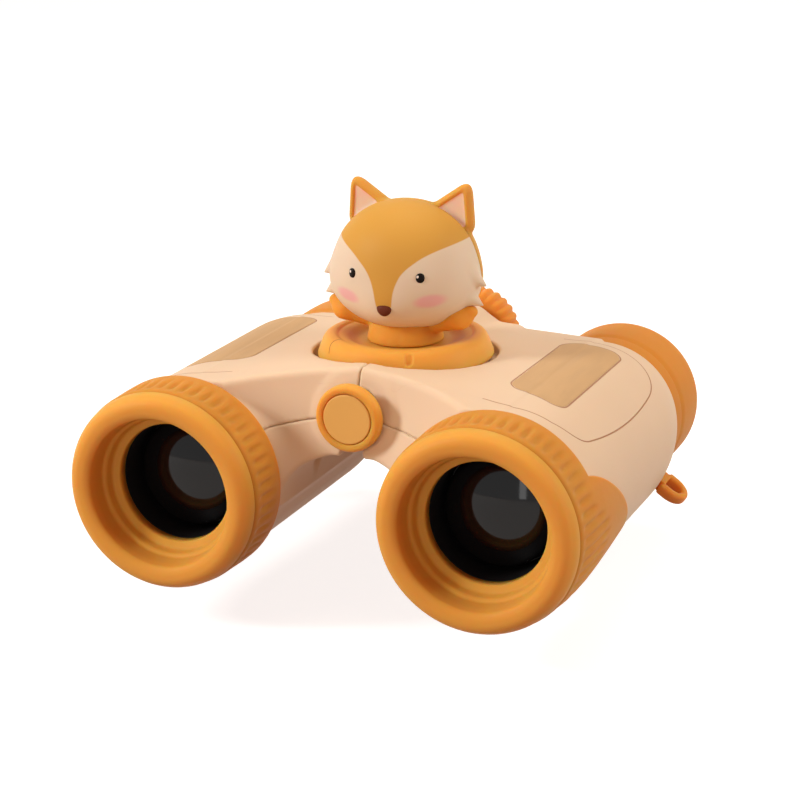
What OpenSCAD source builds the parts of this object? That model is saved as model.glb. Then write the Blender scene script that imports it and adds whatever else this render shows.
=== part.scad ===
// Folding toy binoculars with a fox figure on a turntable.
// Millimetres, +Z up, objectives towards -Y, origin on the ground under the middle of the whole object.
// Inside the modules y runs back from the rim of the objective opening and z up from the barrel axes.

/* [Barrels] */
// Distance between the two barrel axes, set by the distance between the eyes
axis_spacing = 60; // [57:0.5:64]
// Outer radius of a barrel
barrel_r = 17.3; // [16.8:0.1:18]
// Wall of a barrel
barrel_wall = 2.3; // [1.8:0.1:2.8]
// Where the barrel starts behind the rim of the opening
barrel_front = 8; // [7.5:0.5:9]
// Where the barrel ends
barrel_rear = 72; // [70:0.5:75]
// Length over which the barrel rounds down to its rear end
rear_round = 14; // [10:1:18]
// Outer radius of the barrel at its rear end
barrel_end_r = 14.8; // [14:0.1:15.5]

/* [Objective] */
// How far the rounded lip stands in front of the opening's edge
lip_reach = 1; // [0.5:0.1:1.5]
// Wall of the bezel's collar between the barrel's bore and the black lens tube
collar_wall = 2.7; // [2:0.1:3.2]
// How far the opening steps out from the tube to the second step, and from there to the cap seat
inner_step = 1.5; // [1:0.1:2]
outer_step = 1.1; // [0.8:0.1:1.4]
// Depth of the round seat for a push-in lens cap and the bevel at its mouth
cap_seat_depth = 3.4; // [2.5:0.1:4]
mouth_bevel = 0.3; // [0.2:0.05:0.4]
// Depth of the front of the black lens tube
tube_depth = 6.1; // [5:0.1:7]
// Wall and rear end of the black lens tube
tube_wall = 0.9; // [0.8:0.1:1.2]
tube_rear = 40; // [34:1:46]
// Depth of the front of the objective lens
lens_depth = 18.2; // [16:0.1:22]
// Edge thickness and bulge of the objective lens
lens_edge = 2.2; // [1.5:0.1:3]
lens_bulge = 1.3; // [0.8:0.1:1.6]
// How far the ring that holds the objective lens reaches in over it, and its length
lens_lip = 0.8; // [0.5:0.1:1.2]
retainer_len = 1.8; // [1.2:0.1:2.4]

/* [Grip sleeve] */
// How far the fluted sleeve stands out from the barrel
sleeve_thick = 1.6; // [1.2:0.1:2.4]
// Front and rear edge of the fluted band
sleeve_front = 2.2; // [1.8:0.1:3]
sleeve_rear = 14.2; // [12:0.2:16]
// Number and depth of the flutes
flute_count = 54; // [36:2:60]
flute_depth = 0.5; // [0.3:0.05:0.7]
// Length of the palm lobe behind the band, the side that it points to and how far round it reaches each way
lobe_len = 26; // [20:1:32]
lobe_side = -65; // [-75:1:-55]
lobe_spread = 93; // [80:1:96]

/* [Hinge] */
// Height of the hinge axis above the barrel axes
hinge_z = 12.35; // [11.5:0.05:13]
// Outer radius of the hinge hump
hinge_r = 7.5; // [7:0.1:8]
// Radius of the knuckles, the axle and the focus screw round it
knuckle_r = 4.3; // [4:0.1:4.6]
axle_r = 1.25; // [1:0.05:1.4]
screw_r = 2.3; // [2:0.05:2.6]
// How far each half folds down
fold_angle = 15; // [8:1:16]
// Radius, front face and thickness of the round cap on the hinge
cap_r = 6.2; // [5.8:0.1:6.6]
cap_front = 15.7; // [15:0.1:16.2]
cap_thick = 2.3; // [2:0.1:2.8]
// Radius of the disc set into the cap
cap_disc_r = 4.7; // [4.2:0.1:5]

/* [Bridge] */
// Front face of the bridge at the hinge, its sweep radius in plan and its lean
bridge_front = 18.5; // [18:0.1:19.5]
sweep_r = 34.5; // [30:0.5:40]
sweep_lean = 18; // [8:1:22]
// Height of the deck beside the hinge hump at the front, at the shoulder and at the rear
deck_front_z = 19.6; // [18.8:0.1:20]
deck_mid_z = 17.7; // [17.4:0.1:18.6]
deck_rear_z = 16.6; // [15.5:0.1:17]
// Rear edge of the deck
deck_rear = 75; // [73.5:0.5:76]
// Height of the arch under the bridge and how far it bites into the barrels
arch_top = 5; // [4:0.1:5.5]
arch_bite = 0.7; // [0.4:0.1:1.2]
// Length, width and thickness of the thumb pad
pad_len = 32; // [24:1:34]
pad_w = 12; // [9:0.5:13]
pad_thick = 1; // [0.6:0.1:1.2]
// Corner radius of the thumb pad
pad_corner = 2.4; // [1:0.1:3]
// Middle of the thumb pad along the barrel
pad_y = 44.8; // [43:0.2:47]

/* [Eyepiece] */
// How far the eyecup swells out from the barrel's rear end, and its rear end
eyecup_swell = 0.3; // [0.2:0.05:1]
eyecup_rear = 89; // [86:0.5:92]
// How far the eyecup's rear edge lies inside its largest radius, the width of that edge and the length of its rounding
eyecup_inset = 1.9; // [1.4:0.1:2.4]
eyecup_edge = 2.6; // [2.2:0.1:3]
eyecup_round = 4.5; // [3:0.5:9]
// How far the eyepiece tube lies inside the barrel's rear end, and its wall
eye_collar = 4.7; // [4.3:0.1:5.2]
eye_tube_wall = 1.3; // [1:0.1:1.6]
// Depth of the eye lens behind the barrel's end, its edge and its hollow
eye_lens_set = 2.4; // [1.6:0.1:3]
eye_lens_edge = 3; // [2:0.1:3.4]
eye_lens_hollow = 0.9; // [0.5:0.1:1.2]

/* [Focus] */
// Radius, front face and width of the focus wheel
wheel_r = 9.4; // [8.5:0.1:10.5]
wheel_front = 76.2; // [76.2:0.1:77]
wheel_w = 6.6; // [5:0.1:7.5]
// Number of ribs on the wheel
rib_count = 24; // [16:1:30]
// Middle of the focus spool and how far it travels each way
spool_y = 58.5; // [58:0.1:59]
focus_travel = 2; // [1:0.1:2]
// Length of the spool and width of its groove
spool_len = 6.6; // [6:0.1:7]
groove_w = 3.2; // [2.6:0.1:3.4]
// Length and wall of the sliding focus cells
cell_len = 7; // [5:0.2:7]
cell_wall = 4.7; // [3.7:0.1:5.7]

/* [Turntable] */
// Where the turntable stands along the deck
dial_y = 43.5; // [43:0.1:44]
// Radius of the turntable and of the well round it
dial_r = 16.7; // [15.5:0.1:17]
well_r = 17.8; // [17.3:0.1:18.2]
// Height of the well's floor and of the turntable's rim
well_z = 17; // [16.98:0.01:17.2]
dial_top = 22.3; // [21.6:0.1:23]
// Radius of the pivot that the turntable runs on
pivot_r = 3; // [2.5:0.1:3.4]

/* [Fox] */
// Radius, half length and middle height of the head
head_r = 12.1; // [11.5:0.1:12.4]
head_half = 2.4; // [1.5:0.1:3]
head_z = 34.6; // [34.4:0.1:36]
// How far the head's middle lies behind the turntable's axis
head_back = 1; // [0:0.1:1.6]
// Where the head's two shells meet behind the head's middle
head_split = 1; // [0:0.2:2.5]
// Radius of the chest at its foot and under the chin
chest_foot_r = 7.2; // [6.6:0.1:7.6]
chest_top_r = 6; // [5.2:0.1:6.4]
// Height of the chest and how far the neck goes up into the head
chest_h = 5.5; // [5:0.1:6.5]
neck_in = 7; // [5:0.2:8]
// Height of the ears' tips and how far apart they stand
ear_tip_z = 49.3; // [48.5:0.1:50.5]
ear_tip_x = 10.7; // [10:0.1:12]
// Thickness of an ear, depth of its hollow front and radius of its tip
ear_thick = 3.4; // [2.6:0.1:4]
ear_hollow_depth = 1.1; // [0.6:0.1:1.4]
ear_tip_r = 0.9; // [0.7:0.05:1.2]
// Radius of the arms
arm_r = 1.9; // [1.5:0.1:2.1]

/* [Strap lugs] */
// Where the lug stands along the barrel and how far round below its side
lug_y = 65; // [62:0.5:66]
lug_angle = 35; // [30:1:45]
// Reach of the lug from the barrel, its width and its thickness
lug_reach = 5.6; // [5.2:0.1:6.4]
lug_w = 7.4; // [6.8:0.1:8.4]
lug_thick = 2.3; // [2:0.1:2.8]
// Length and width of the strap slot
slot_len = 3.4; // [3:0.1:3.6]
slot_w = 3.6; // [3.2:0.1:4]

/* [Clearances] */
// Between pieces of one body that are set into each other
seat_gap = 0.1; // [0.05:0.05:0.15]
// Between pieces that move past each other
seam_gap = 0.3; // [0.2:0.05:0.4]
// Round a shaft that turns or slides
run_gap = 0.05; // [0.03:0.01:0.08]

/* [Hidden] */
$fn = 64;
tiny = 0.01;
far = 200;
half_spacing = axis_spacing / 2;
bore_r = barrel_r - barrel_wall;
tube_r = bore_r - 3 * seat_gap - collar_wall - tube_wall;
step_r = tube_r + inner_step;
cap_seat_r = step_r + outer_step;
rim_r = cap_seat_r + mouth_bevel;
lens_free_r = tube_r - lens_lip;
sleeve_r = barrel_r + sleeve_thick;
lobe_end = sleeve_rear + lobe_len;
eyecup_r = barrel_end_r + eyecup_swell;
eyecup_edge_r = eyecup_r - eyecup_inset;
eye_opening_r = eyecup_edge_r - eyecup_edge;
eye_tube_r = barrel_end_r - eye_collar - eye_tube_wall;
arch_half = half_spacing - barrel_r + arch_bite;
arch_foot = -4;
// Height of the barrel axes over the ground: the sleeves touch it
ground = sleeve_r;
middle_y = (eyecup_rear - lip_reach) / 2;

// Shells: the seam between upper and lower shell leaves the hinge, crosses the inner wall and ends underneath
seam_r = bore_r + barrel_wall / 5;
seam_inner = [half_spacing + seam_r * cos(144.5), seam_r * sin(144.5)];
seam_outer_angle = -60;
notch_angle = fold_angle + 2;

// Fluted band: each flute is a round groove along the barrel
flute_r = 1;

// Focus: the cavity that the fork arms move in
arm_h = 3.4;
arm_thick = groove_w - 2 * seat_gap;
cavity_y = arm_thick / 2 + focus_travel + seam_gap;
groove_floor_r = screw_r + 0.9;
fork_half_angle = 60;
cell_r = bore_r - seam_gap;
cell_hole_r = cell_r - cell_wall;
arm_end = half_spacing - cell_r * 0.53;
leg_w = 3;
bore_end = spool_y + cell_len / 2 + focus_travel + seam_gap;
end_wall = 3;
end_bore_r = eye_tube_r + eye_tube_wall + 2;
screw_front = spool_y - spool_len / 2 - focus_travel - 0.5;

// Knuckles along the hinge, front pair on the axle and rear pair on the screw
knuckle_front = cap_front + cap_thick + 2 * seam_gap;
front_knuckle_len = 3.2;
rear_knuckle_len = 3.4;
rear_knuckle_end = deck_rear - 1.6;
collar_len = 11;

// Turntable post
post_r = 5;
dial_foot = well_z + seam_gap;
dial_floor = dial_foot + 2.9;
screw_head_r = 4.4;
screw_head_h = 1.3;
bolt_r = 1.2;

// Shell screws under the bridge
shell_screw_x = arch_half * 0.75;
shell_screw_head_r = 2.2;
shell_screw_ys = [28, rear_knuckle_end - 2.6];
shell_screw_top = 14.5;

bolt_socket = bolt_r + run_gap;
wheel_rear = wheel_front + wheel_w;
nut_len = 2.6;

cream = [0.92, 0.81, 0.70];
tan = [0.83, 0.67, 0.47];
orange = [0.90, 0.63, 0.30];
dark_orange = [0.85, 0.53, 0.24];
black = [0.05, 0.05, 0.06];
steel = [0.7, 0.7, 0.72];
glass = [0.6, 0.7, 0.8, 0.5];

// Points of an arc, in degrees
function arc(c, r, a0, a1, n = 16) =
    [for (i = [0:n]) let (a = a0 + (a1 - a0) * i / n) [c.x + r * cos(a), c.y + r * sin(a)]];

// Radius of the barrel's outside at a place along it: straight, then a shallow arc down to the rear end
function barrel_outer(y) = let (u = max(0, y - (barrel_rear - rear_round)) / rear_round)
    barrel_r - (barrel_r - barrel_end_r) * u * u;

// From the working frame to the part's own frame
module placed() { translate([0, -middle_y, ground]) children(); }

// Turns a shape drawn along +Z so that it runs back along the barrel from a place y
module along(x, y, z) { translate([x, y, z]) rotate([-90, 0, 0]) children(); }
module rod(x, z, r, y0, y1) { along(x, y0, z) cylinder(r = r, h = y1 - y0); }
module ring(x, z, r_out, r_in, y0, y1) {
    difference() {
        rod(x, z, r_out, y0, y1);
        rod(x, z, r_in, y0 - 1, y1 + 1);
    }
}
// A profile of [radius, place along the barrel] turned about the right barrel's axis
module turned(points) { along(half_spacing, 0, 0) rotate_extrude($fn = 96) polygon(points); }
// An outline of [x, z] drawn out along the barrels
module drawn_out(points, y0, y1) {
    translate([0, y1, 0]) rotate([90, 0, 0]) linear_extrude(y1 - y0) polygon(points);
}
// A block between two corners
module block(low, high) { translate(low) cube(high - low); }
module upright(r, z0, z1) { translate([0, dial_y, z0]) cylinder(r = r, h = z1 - z0); }
module mirrored() { mirror([1, 0, 0]) children(); }

// Outline of the bridge across the object: flat deck falling to the top of the barrel
function deck_section(inner_z, outer_z) =
    [[0, arch_foot], [0, inner_z], [5, inner_z], [half_spacing, outer_z], [half_spacing, arch_foot]];
module deck_slice(inner_z, outer_z, y) { drawn_out(deck_section(inner_z, outer_z), y, y + tiny); }

// Bridge block: two straight lofts, swept in at the front and arched underneath
module bridge() {
    shoulder_y = barrel_rear - rear_round;
    difference() {
        union() {
            hull() {
                deck_slice(deck_front_z, barrel_r, barrel_front);
                deck_slice(deck_mid_z, barrel_r, shoulder_y);
            }
            hull() {
                deck_slice(deck_mid_z, barrel_r, shoulder_y);
                deck_slice(deck_rear_z, barrel_end_r - 0.2, deck_rear - tiny);
            }
            rod(0, hinge_z, hinge_r, barrel_front, deck_rear);
        }
        // Hollow front face: a leaning cylinder takes the front away
        translate([0, bridge_front - sweep_r, hinge_z]) rotate([-sweep_lean, 0, 0])
            cylinder(r = sweep_r, h = far, center = true, $fn = 128);
        drawn_out([for (a = [0:7.5:180]) [arch_half * cos(a), arch_foot + (arch_top - arch_foot) * sin(a)]],
            -1, far);
        // Room for the sleeve's band
        rod(half_spacing, 0, sleeve_r + seat_gap, 0, sleeve_rear + seat_gap);
        // Room behind the barrel's rounded end
        translate([half_spacing - barrel_end_r - 2, barrel_rear, -far / 2]) cube([far, far, far]);
    }
}

module barrel() {
    turned(concat([[0, barrel_front], [barrel_r, barrel_front]],
        [for (i = [0:10]) let (y = barrel_rear - rear_round * (1 - i / 10)) [barrel_outer(y), y]],
        [[0, barrel_rear]]));
}

// What lies on the right of the seam between the halves, with the V notch that lets them fold
module right_region() {
    low = far / 2;
    drawn_out([[seam_gap / 2, far], [seam_gap / 2, hinge_z],
        [seam_gap / 2 + low * tan(notch_angle), hinge_z - low], [far, hinge_z - low], [far, far]], -far, far);
}

// Everything above the seam between the upper and the lower shell
module upper_region(drop) {
    outer = [half_spacing + barrel_r * cos(seam_outer_angle), barrel_r * sin(seam_outer_angle)];
    slope = (outer.y - seam_inner.y) / (outer.x - seam_inner.x);
    translate([0, 0, -drop]) drawn_out([[-5, hinge_z], [0, hinge_z], seam_inner, outer,
        outer + 20 * [1, slope], [far, outer.y + 20 * slope], [far, far], [-5, far]], -far, far);
}

// A knuckle of the right half: a ring round the hinge axis with a web into the hump's wall
module knuckle(y0, y1, hole_r) {
    difference() {
        union() {
            rod(0, hinge_z, knuckle_r, y0, y1);
            intersection() {
                rod(0, hinge_z, hinge_r - 0.6, y0, y1);
                block([2.2, y0, hinge_z - hinge_r], [hinge_r, y1, hinge_z + hinge_r]);
            }
        }
        rod(0, hinge_z, hole_r, y0 - 1, y1 + 1);
    }
}
// Knuckles of one half: the right half has the second and third place, the left half the others
module knuckles(right) {
    y_front = knuckle_front + (right ? front_knuckle_len + seam_gap : 0);
    y_rear = rear_knuckle_end - rear_knuckle_len * (right ? 2 : 1) - (right ? seam_gap : 0);
    knuckle(y_front, y_front + front_knuckle_len, axle_r + run_gap);
    knuckle(y_rear, y_rear + rear_knuckle_len, screw_r + run_gap);
}

module pad_area(grow) {
    r = pad_corner;
    along_axis = [pad_w + 2 * grow - 2 * r, pad_len + 2 * grow - 2 * r];
    translate([half_spacing + 1.5, pad_y, 0]) linear_extrude(far) {
        square([along_axis.x, along_axis.y + 2 * r], center = true);
        square([along_axis.x + 2 * r, along_axis.y], center = true);
        for (sx = [-1, 1], sy = [-1, 1]) translate([sx, sy] / 2 * [[along_axis.x, 0], [0, along_axis.y]])
            circle(r = r);
    }
}

// Straight bar of a strap lug or its slot in the shell, along the lug's own direction
module lug_place() { translate([half_spacing, lug_y, 0]) rotate([0, lug_angle, 0]) children(); }
lug_root = bore_r + seam_gap;
lug_tip = barrel_r + lug_reach;
tang_w = lug_w - 2.6;
lug_rim = 1.5;

// Shell screws come up from the arch: head in a round recess, shaft into the upper shell
shell_screw_floor = arch_foot + (arch_top - arch_foot) * sqrt(1 - pow(shell_screw_x / arch_half, 2));
shell_screw_seat = shell_screw_floor + 2.6;
module shell_screws() {
    for (y = shell_screw_ys) translate([shell_screw_x, y, 0]) {
        translate([0, 0, shell_screw_seat - 1]) cylinder(r = bolt_r, h = shell_screw_top - shell_screw_seat + 1);
        translate([0, 0, shell_screw_seat - 1.6 - seat_gap]) cylinder(r = shell_screw_head_r, h = 1.6);
    }
}
module shell_screw_holes() {
    for (y = shell_screw_ys) translate([shell_screw_x, y, 0]) {
        cylinder(r = bolt_socket, h = shell_screw_top + seat_gap);
        translate([0, 0, shell_screw_seat - far]) cylinder(r = shell_screw_head_r + seat_gap, h = far);
    }
}

// The right half before it is cut into its two shells
module right_half(right) {
    difference() {
        union() {
            intersection() {
                difference() {
                    union() { barrel(); bridge(); }
                    // Room round the hinge, for its knuckles, the post and the cap
                    rod(0, hinge_z, knuckle_r + seam_gap, 0, far);
                }
                right_region();
            }
            knuckles(right);
        }
        rod(0, hinge_z, cap_r + seam_gap, 0, cap_front + cap_thick + seam_gap);
        upright(well_r, well_z, far);
        upright(post_r + seam_gap, hinge_z, far);
        // Bore of the barrel: wide for the focus cell, narrower to the end wall, and the eyepiece's hole
        rod(half_spacing, 0, bore_r, 0, bore_end);
        rod(half_spacing, 0, end_bore_r, 0, barrel_rear - end_wall);
        rod(half_spacing, 0, eye_tube_r + eye_tube_wall + seat_gap, 0, far);
        // Way of the focus arm from the hinge into the bore
        block([0, spool_y - cavity_y, hinge_z - arm_h / 2 - seam_gap],
            [arm_end + seam_gap, spool_y + cavity_y, hinge_z + arm_h / 2 + seam_gap]);
        difference() {
            pad_area(seat_gap);
            along(half_spacing, 0, 0) cylinder(r = barrel_r - pad_thick - seat_gap, h = far);
        }
        lug_place() block([lug_root - 1, -tang_w / 2 - seat_gap, -lug_thick / 2 - seat_gap],
            [barrel_r + 1, tang_w / 2 + seat_gap, lug_thick / 2 + seat_gap]);
        shell_screw_holes();
    }
}

module upper_shell(right) { intersection() { right_half(right); upper_region(0); } }
module lower_shell(right) { difference() { right_half(right); upper_region(seat_gap); } }

module thumb_pad() {
    intersection() {
        ring(half_spacing, 0, barrel_r, barrel_r - pad_thick, barrel_front, barrel_rear);
        pad_area(0);
    }
}

// Round bezel: a soft lip round the opening, two steps inside and a collar in the barrel's bore
module objective_bezel() {
    lip_mid = (rim_r + sleeve_r - 1) / 2;
    lip_half = lip_mid - rim_r;
    spigot = barrel_r;
    turned(concat(
        [[cap_seat_r, cap_seat_depth], [cap_seat_r, 0.4]],
        [for (a = [180:15:360]) [lip_mid + lip_half * cos(a), lip_reach * sin(a)]],
        [[sleeve_r - 0.7, sleeve_front - seat_gap], [spigot, sleeve_front - seat_gap],
         [spigot, barrel_front - seat_gap], [bore_r - seat_gap, barrel_front - seat_gap],
         [bore_r - seat_gap, barrel_front + 2.5], [tube_r + tube_wall + 2 * seat_gap, barrel_front + 2.5],
         [tube_r + tube_wall + 2 * seat_gap, barrel_front], [tube_r, barrel_front],
         [tube_r, tube_depth], [step_r, tube_depth], [step_r, cap_seat_depth]]));
}

// Outside of the palm lobe: full at the band, running out on the barrel
function lobe_r(y) = let (u = max(0, y - sleeve_rear) / lobe_len)
    max(barrel_r + sleeve_thick * (1 - pow(min(1, u), 1.25)), barrel_r + seat_gap + 0.15);
// How far back the lobe's edge lies at an angle round the barrel
function lobe_edge(angle) = let (u = min(1, abs(angle - lobe_side) / lobe_spread))
    sleeve_rear + lobe_len * pow(1 - pow(u, 1.8), 0.8);
// The lobe's extent, cut from three sides so that its edge stands square on the barrel
module lobe_cut() {
    wide = lobe_spread * 2 / 3;
    half = wide / 2 + 0.3;
    for (side = [lobe_side - wide, lobe_side, lobe_side + wide])
        rotate([0, -90 - side, 0]) mirror([0, 0, 1]) intersection() {
            linear_extrude(far) polygon(concat([[-far / 8, sleeve_rear - 1]],
                [for (a = [-40:5:40]) let (y = lobe_edge(side + a)) [lobe_r(y) * sin(a), y]],
                [[far / 8, sleeve_rear - 1]]));
            drawn_out([[0, 0], [far * tan(half), far], [-far * tan(half), far]], 0, far);
        }
}

// Grip sleeve: a fluted band with a palm lobe on the outer and lower side
module grip_sleeve() {
    inner = barrel_r + seat_gap;
    difference() {
        turned([[inner, sleeve_front], [sleeve_r - 0.6, sleeve_front], [sleeve_r - 0.15, sleeve_front + 2],
            [sleeve_r, (sleeve_front + sleeve_rear) / 2], [sleeve_r - 0.1, sleeve_rear - 2],
            [sleeve_r - 0.5, sleeve_rear - 0.5], [sleeve_r - 1, sleeve_rear], [inner, sleeve_rear]]);
        for (i = [0:flute_count - 1]) along(half_spacing, 0, 0) rotate(360 / flute_count * (i + 0.5))
            translate([sleeve_r + flute_r - flute_depth, 0, sleeve_front + 1])
                cylinder(r = flute_r, h = sleeve_rear - sleeve_front - 3.2, $fn = 24);
    }
    intersection() {
        turned(concat([[inner, sleeve_rear - 1], [sleeve_r - 1, sleeve_rear - 1]],
            [for (i = [0:8]) let (y = sleeve_rear + lobe_len * i / 8) [lobe_r(y), y]],
            [[inner, lobe_end]]));
        translate([half_spacing, 0, 0]) lobe_cut();
    }
}

// Depth of a lens face at a radius, below its crown's edge
function lens_sag(r, bulge, at) = let (c = (r * r + bulge * bulge) / (2 * bulge))
    sqrt(c * c - at * at) - sqrt(c * c - r * r);
seat_sag = lens_sag(tube_r, lens_bulge, lens_free_r) + seat_gap;

// Black lens tube with the ledge that the objective lens sits on
module lens_tube() {
    ledge = lens_depth + lens_edge + seat_sag;
    inner = tube_r + seat_gap;
    turned([[inner, barrel_front + seat_gap], [inner + tube_wall, barrel_front + seat_gap],
        [inner + tube_wall, tube_rear], [inner, tube_rear], [inner, ledge + 1.5],
        [lens_free_r, ledge + 1.5], [lens_free_r, ledge], [inner, ledge]]);
}
module lens_retainer() {
    rear = lens_depth - seat_sag;
    ring(half_spacing, 0, tube_r, lens_free_r, rear - retainer_len, rear);
}

// A round lens: flat rim, faces that bulge outwards or inwards
module lens(r, y0, edge, bulge) {
    c = (r * r + bulge * bulge) / (2 * abs(bulge));
    half = asin(r / c);
    s = sign(bulge);
    face = [for (i = [0:8]) let (a = half * i / 8) [c * sin(a), s * (c * cos(a) - c * cos(half))]];
    turned(concat([for (p = face) [p.x, y0 + edge + p.y]], [for (i = [8:-1:0]) [face[i].x, y0 - face[i].y]]));
}

// Eyecup: a base band on the barrel's end, then a full round cup that closes in at the rear
module eyecup() {
    tube = eye_tube_r + eye_tube_wall + seat_gap;
    start = barrel_rear + seat_gap;
    belly = eyecup_rear - eyecup_round;
    turned(concat([[tube, start], [barrel_end_r, start], [barrel_end_r + 0.1, start + 3.2],
        [barrel_end_r - 0.2, start + 3.5], [barrel_end_r - 0.2, start + 3.9]],
        [for (i = [0:6]) let (t = i / 6) [eyecup_r - (eyecup_r - barrel_end_r + 0.1) * pow(1 - t, 2),
            start + 4.1 + (belly - start - 4.1) * t]],
        [for (i = [1:6]) let (a = 90 * i / 6) [eyecup_edge_r - 0.8 + (eyecup_r - eyecup_edge_r + 0.8) * cos(a),
            belly + (eyecup_rear - belly) * sin(a)]],
        [[eye_opening_r + 0.4, eyecup_rear - 0.2], [eye_opening_r, eyecup_rear - 0.9],
         [eye_tube_r + 0.4, eyecup_rear - 8], [tube, eyecup_rear - 8]]));
}
module eyepiece_tube() {
    outer = eye_tube_r + eye_tube_wall;
    seat = barrel_rear + eye_lens_set - seat_gap;
    turned([[eye_tube_r - 1, barrel_rear - 6], [outer, barrel_rear - 6], [outer, eyecup_rear - 8 - seat_gap],
        [eye_tube_r + 0.1, eyecup_rear - 8 - seat_gap], [eye_tube_r + 0.1, seat], [eye_tube_r - 1, seat]]);
}

// Strap lug: a flat loop with a rounded end on a tang through the shell
module strap_lug() {
    end_r = lug_w / 2;
    slot_end = lug_tip - lug_rim;
    straight_end = slot_end - slot_w / 2;
    lug_place() difference() {
        union() {
            block([lug_root, -tang_w / 2, -lug_thick / 2], [barrel_r + 1, tang_w / 2, lug_thick / 2]);
            intersection() {
                union() {
                    block([barrel_r, -lug_w / 2, -lug_thick / 2], [lug_tip - end_r, lug_w / 2, lug_thick / 2]);
                    translate([lug_tip - end_r, 0, -lug_thick / 2]) cylinder(r = end_r, h = lug_thick);
                }
                block([barrel_r + 0.2, -lug_w, -lug_thick], [lug_tip + 1, lug_w, lug_thick]);
            }
        }
        block([slot_end - slot_len, -slot_w / 2, -lug_thick], [straight_end, slot_w / 2, lug_thick]);
        translate([straight_end, 0, -lug_thick]) cylinder(r = slot_w / 2, h = 2 * lug_thick);
    }
}

// Focus cell: a ring that slides in the barrel, with an arm and a fork in the spool's groove
module focus_cell() {
    fork_in = groove_floor_r + seam_gap / 2;
    fork_out = knuckle_r - seat_gap;
    y0 = spool_y - cell_len / 2;
    y_arm = spool_y - arm_thick / 2;
    difference() {
        union() {
            rod(half_spacing, 0, cell_r, y0, y0 + cell_len);
            block([fork_out - 0.6, y_arm, hinge_z - arm_h / 2],
                [arm_end, y_arm + arm_thick, hinge_z + arm_h / 2]);
            // Leg that joins the arm to the ring
            block([arm_end - leg_w, y_arm, cell_r * 0.5], [arm_end, y_arm + arm_thick, hinge_z + arm_h / 2]);
            intersection() {
                rod(0, hinge_z, fork_out, y_arm, y_arm + arm_thick);
                drawn_out([[0, hinge_z], [9 * cos(fork_half_angle), hinge_z - 9 * sin(fork_half_angle)],
                    [9, hinge_z], [9 * cos(fork_half_angle), hinge_z + 9 * sin(fork_half_angle)]], 0, far);
            }
        }
        rod(0, hinge_z, fork_in, 0, far);
        rod(half_spacing, 0, cell_hole_r, 0, far);
        rod(half_spacing, 0, cell_hole_r + 1.2, spool_y, far);
    }
}

module hinge_axle() { color(steel) placed() rod(0, hinge_z, axle_r, cap_front + 1.2, wheel_rear + nut_len); }
module hinge_cap_ring() {
    r = 0.9;
    color(orange) placed() difference() {
        along(0, cap_front, hinge_z) rotate_extrude($fn = 96)
            polygon(concat([[0, 0]], arc([cap_r - r, r], r, -90, 0, 6), [[cap_r, cap_thick], [0, cap_thick]]));
        rod(0, hinge_z, cap_disc_r, 0, cap_front + 1);
        rod(0, hinge_z, axle_r + run_gap, 0, far);
    }
}
module hinge_cap_disc() {
    r = cap_disc_r - seat_gap;
    color(orange) placed() along(0, cap_front + 0.1, hinge_z) rotate_extrude($fn = 96)
        polygon(concat([[0, 0]], arc([r - 0.4, 0.4], 0.4, -90, 0, 5), [[r, 0.85], [0, 0.85]]));
}
module turntable_post() {
    color(cream) placed() difference() {
        union() {
            rod(0, hinge_z, knuckle_r, dial_y - collar_len / 2, dial_y + collar_len / 2);
            upright(post_r, hinge_z + 2.2, dial_foot - seat_gap);
            upright(pivot_r, hinge_z + 2.2, dial_floor);
        }
        rod(0, hinge_z, axle_r + run_gap, 0, far);
        upright(bolt_socket, hinge_z, far);
    }
}
module turntable_screw() {
    color(steel) placed() {
        upright(bolt_r, hinge_z + axle_r + 0.5, dial_floor + seat_gap + tiny);
        upright(screw_head_r, dial_floor + seat_gap, dial_floor + seat_gap + screw_head_h);
    }
}
module axle_nut() {
    r = 0.8;
    color(dark_orange) placed() difference() {
        along(0, wheel_rear + seam_gap, hinge_z) rotate_extrude()
            polygon(concat([[0, 0], [4, 0]], arc([4 - r, nut_len + 0.6 - r], r, 0, 90, 6), [[0, nut_len + 0.6]]));
        rod(0, hinge_z, axle_r + run_gap, 0, wheel_rear + nut_len + run_gap);
    }
}

// Focus wheel: a drum with bevelled ends, round ribs on its straight part and a hub on the screw
module focus_wheel() {
    rib_r = PI * wheel_r / rib_count * 0.72;
    drum_r = wheel_r - 0.6;
    bevel = 1;
    rib_start = bevel + 0.25;
    color(dark_orange) placed() difference() {
        union() {
            along(0, wheel_front, hinge_z) rotate_extrude($fn = 96)
                polygon([[0, 0], [drum_r - bevel, 0], [drum_r, bevel], [drum_r, wheel_w - bevel],
                    [drum_r - bevel, wheel_w], [0, wheel_w]]);
            for (i = [0:rib_count - 1])
                along(0, wheel_front + rib_start, hinge_z) rotate(360 / rib_count * (i + 0.3))
                    translate([wheel_r - rib_r, 0, 0])
                        cylinder(r = rib_r, h = wheel_w - 2 * rib_start, $fn = 24);
        }
        rod(0, hinge_z, screw_r + run_gap, 0, wheel_rear - 2);
        rod(0, hinge_z, axle_r + run_gap, 0, far);
    }
}
module focus_screw() {
    color(steel) placed() ring(0, hinge_z, screw_r, axle_r + run_gap, screw_front, wheel_rear - 2 - run_gap);
}
module focus_spool() {
    y0 = spool_y - spool_len / 2;
    color(black) placed() difference() {
        rod(0, hinge_z, knuckle_r, y0, y0 + spool_len);
        ring(0, hinge_z, knuckle_r + 1, groove_floor_r, spool_y - groove_w / 2, spool_y + groove_w / 2);
        rod(0, hinge_z, screw_r + run_gap, 0, far);
    }
}

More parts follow.
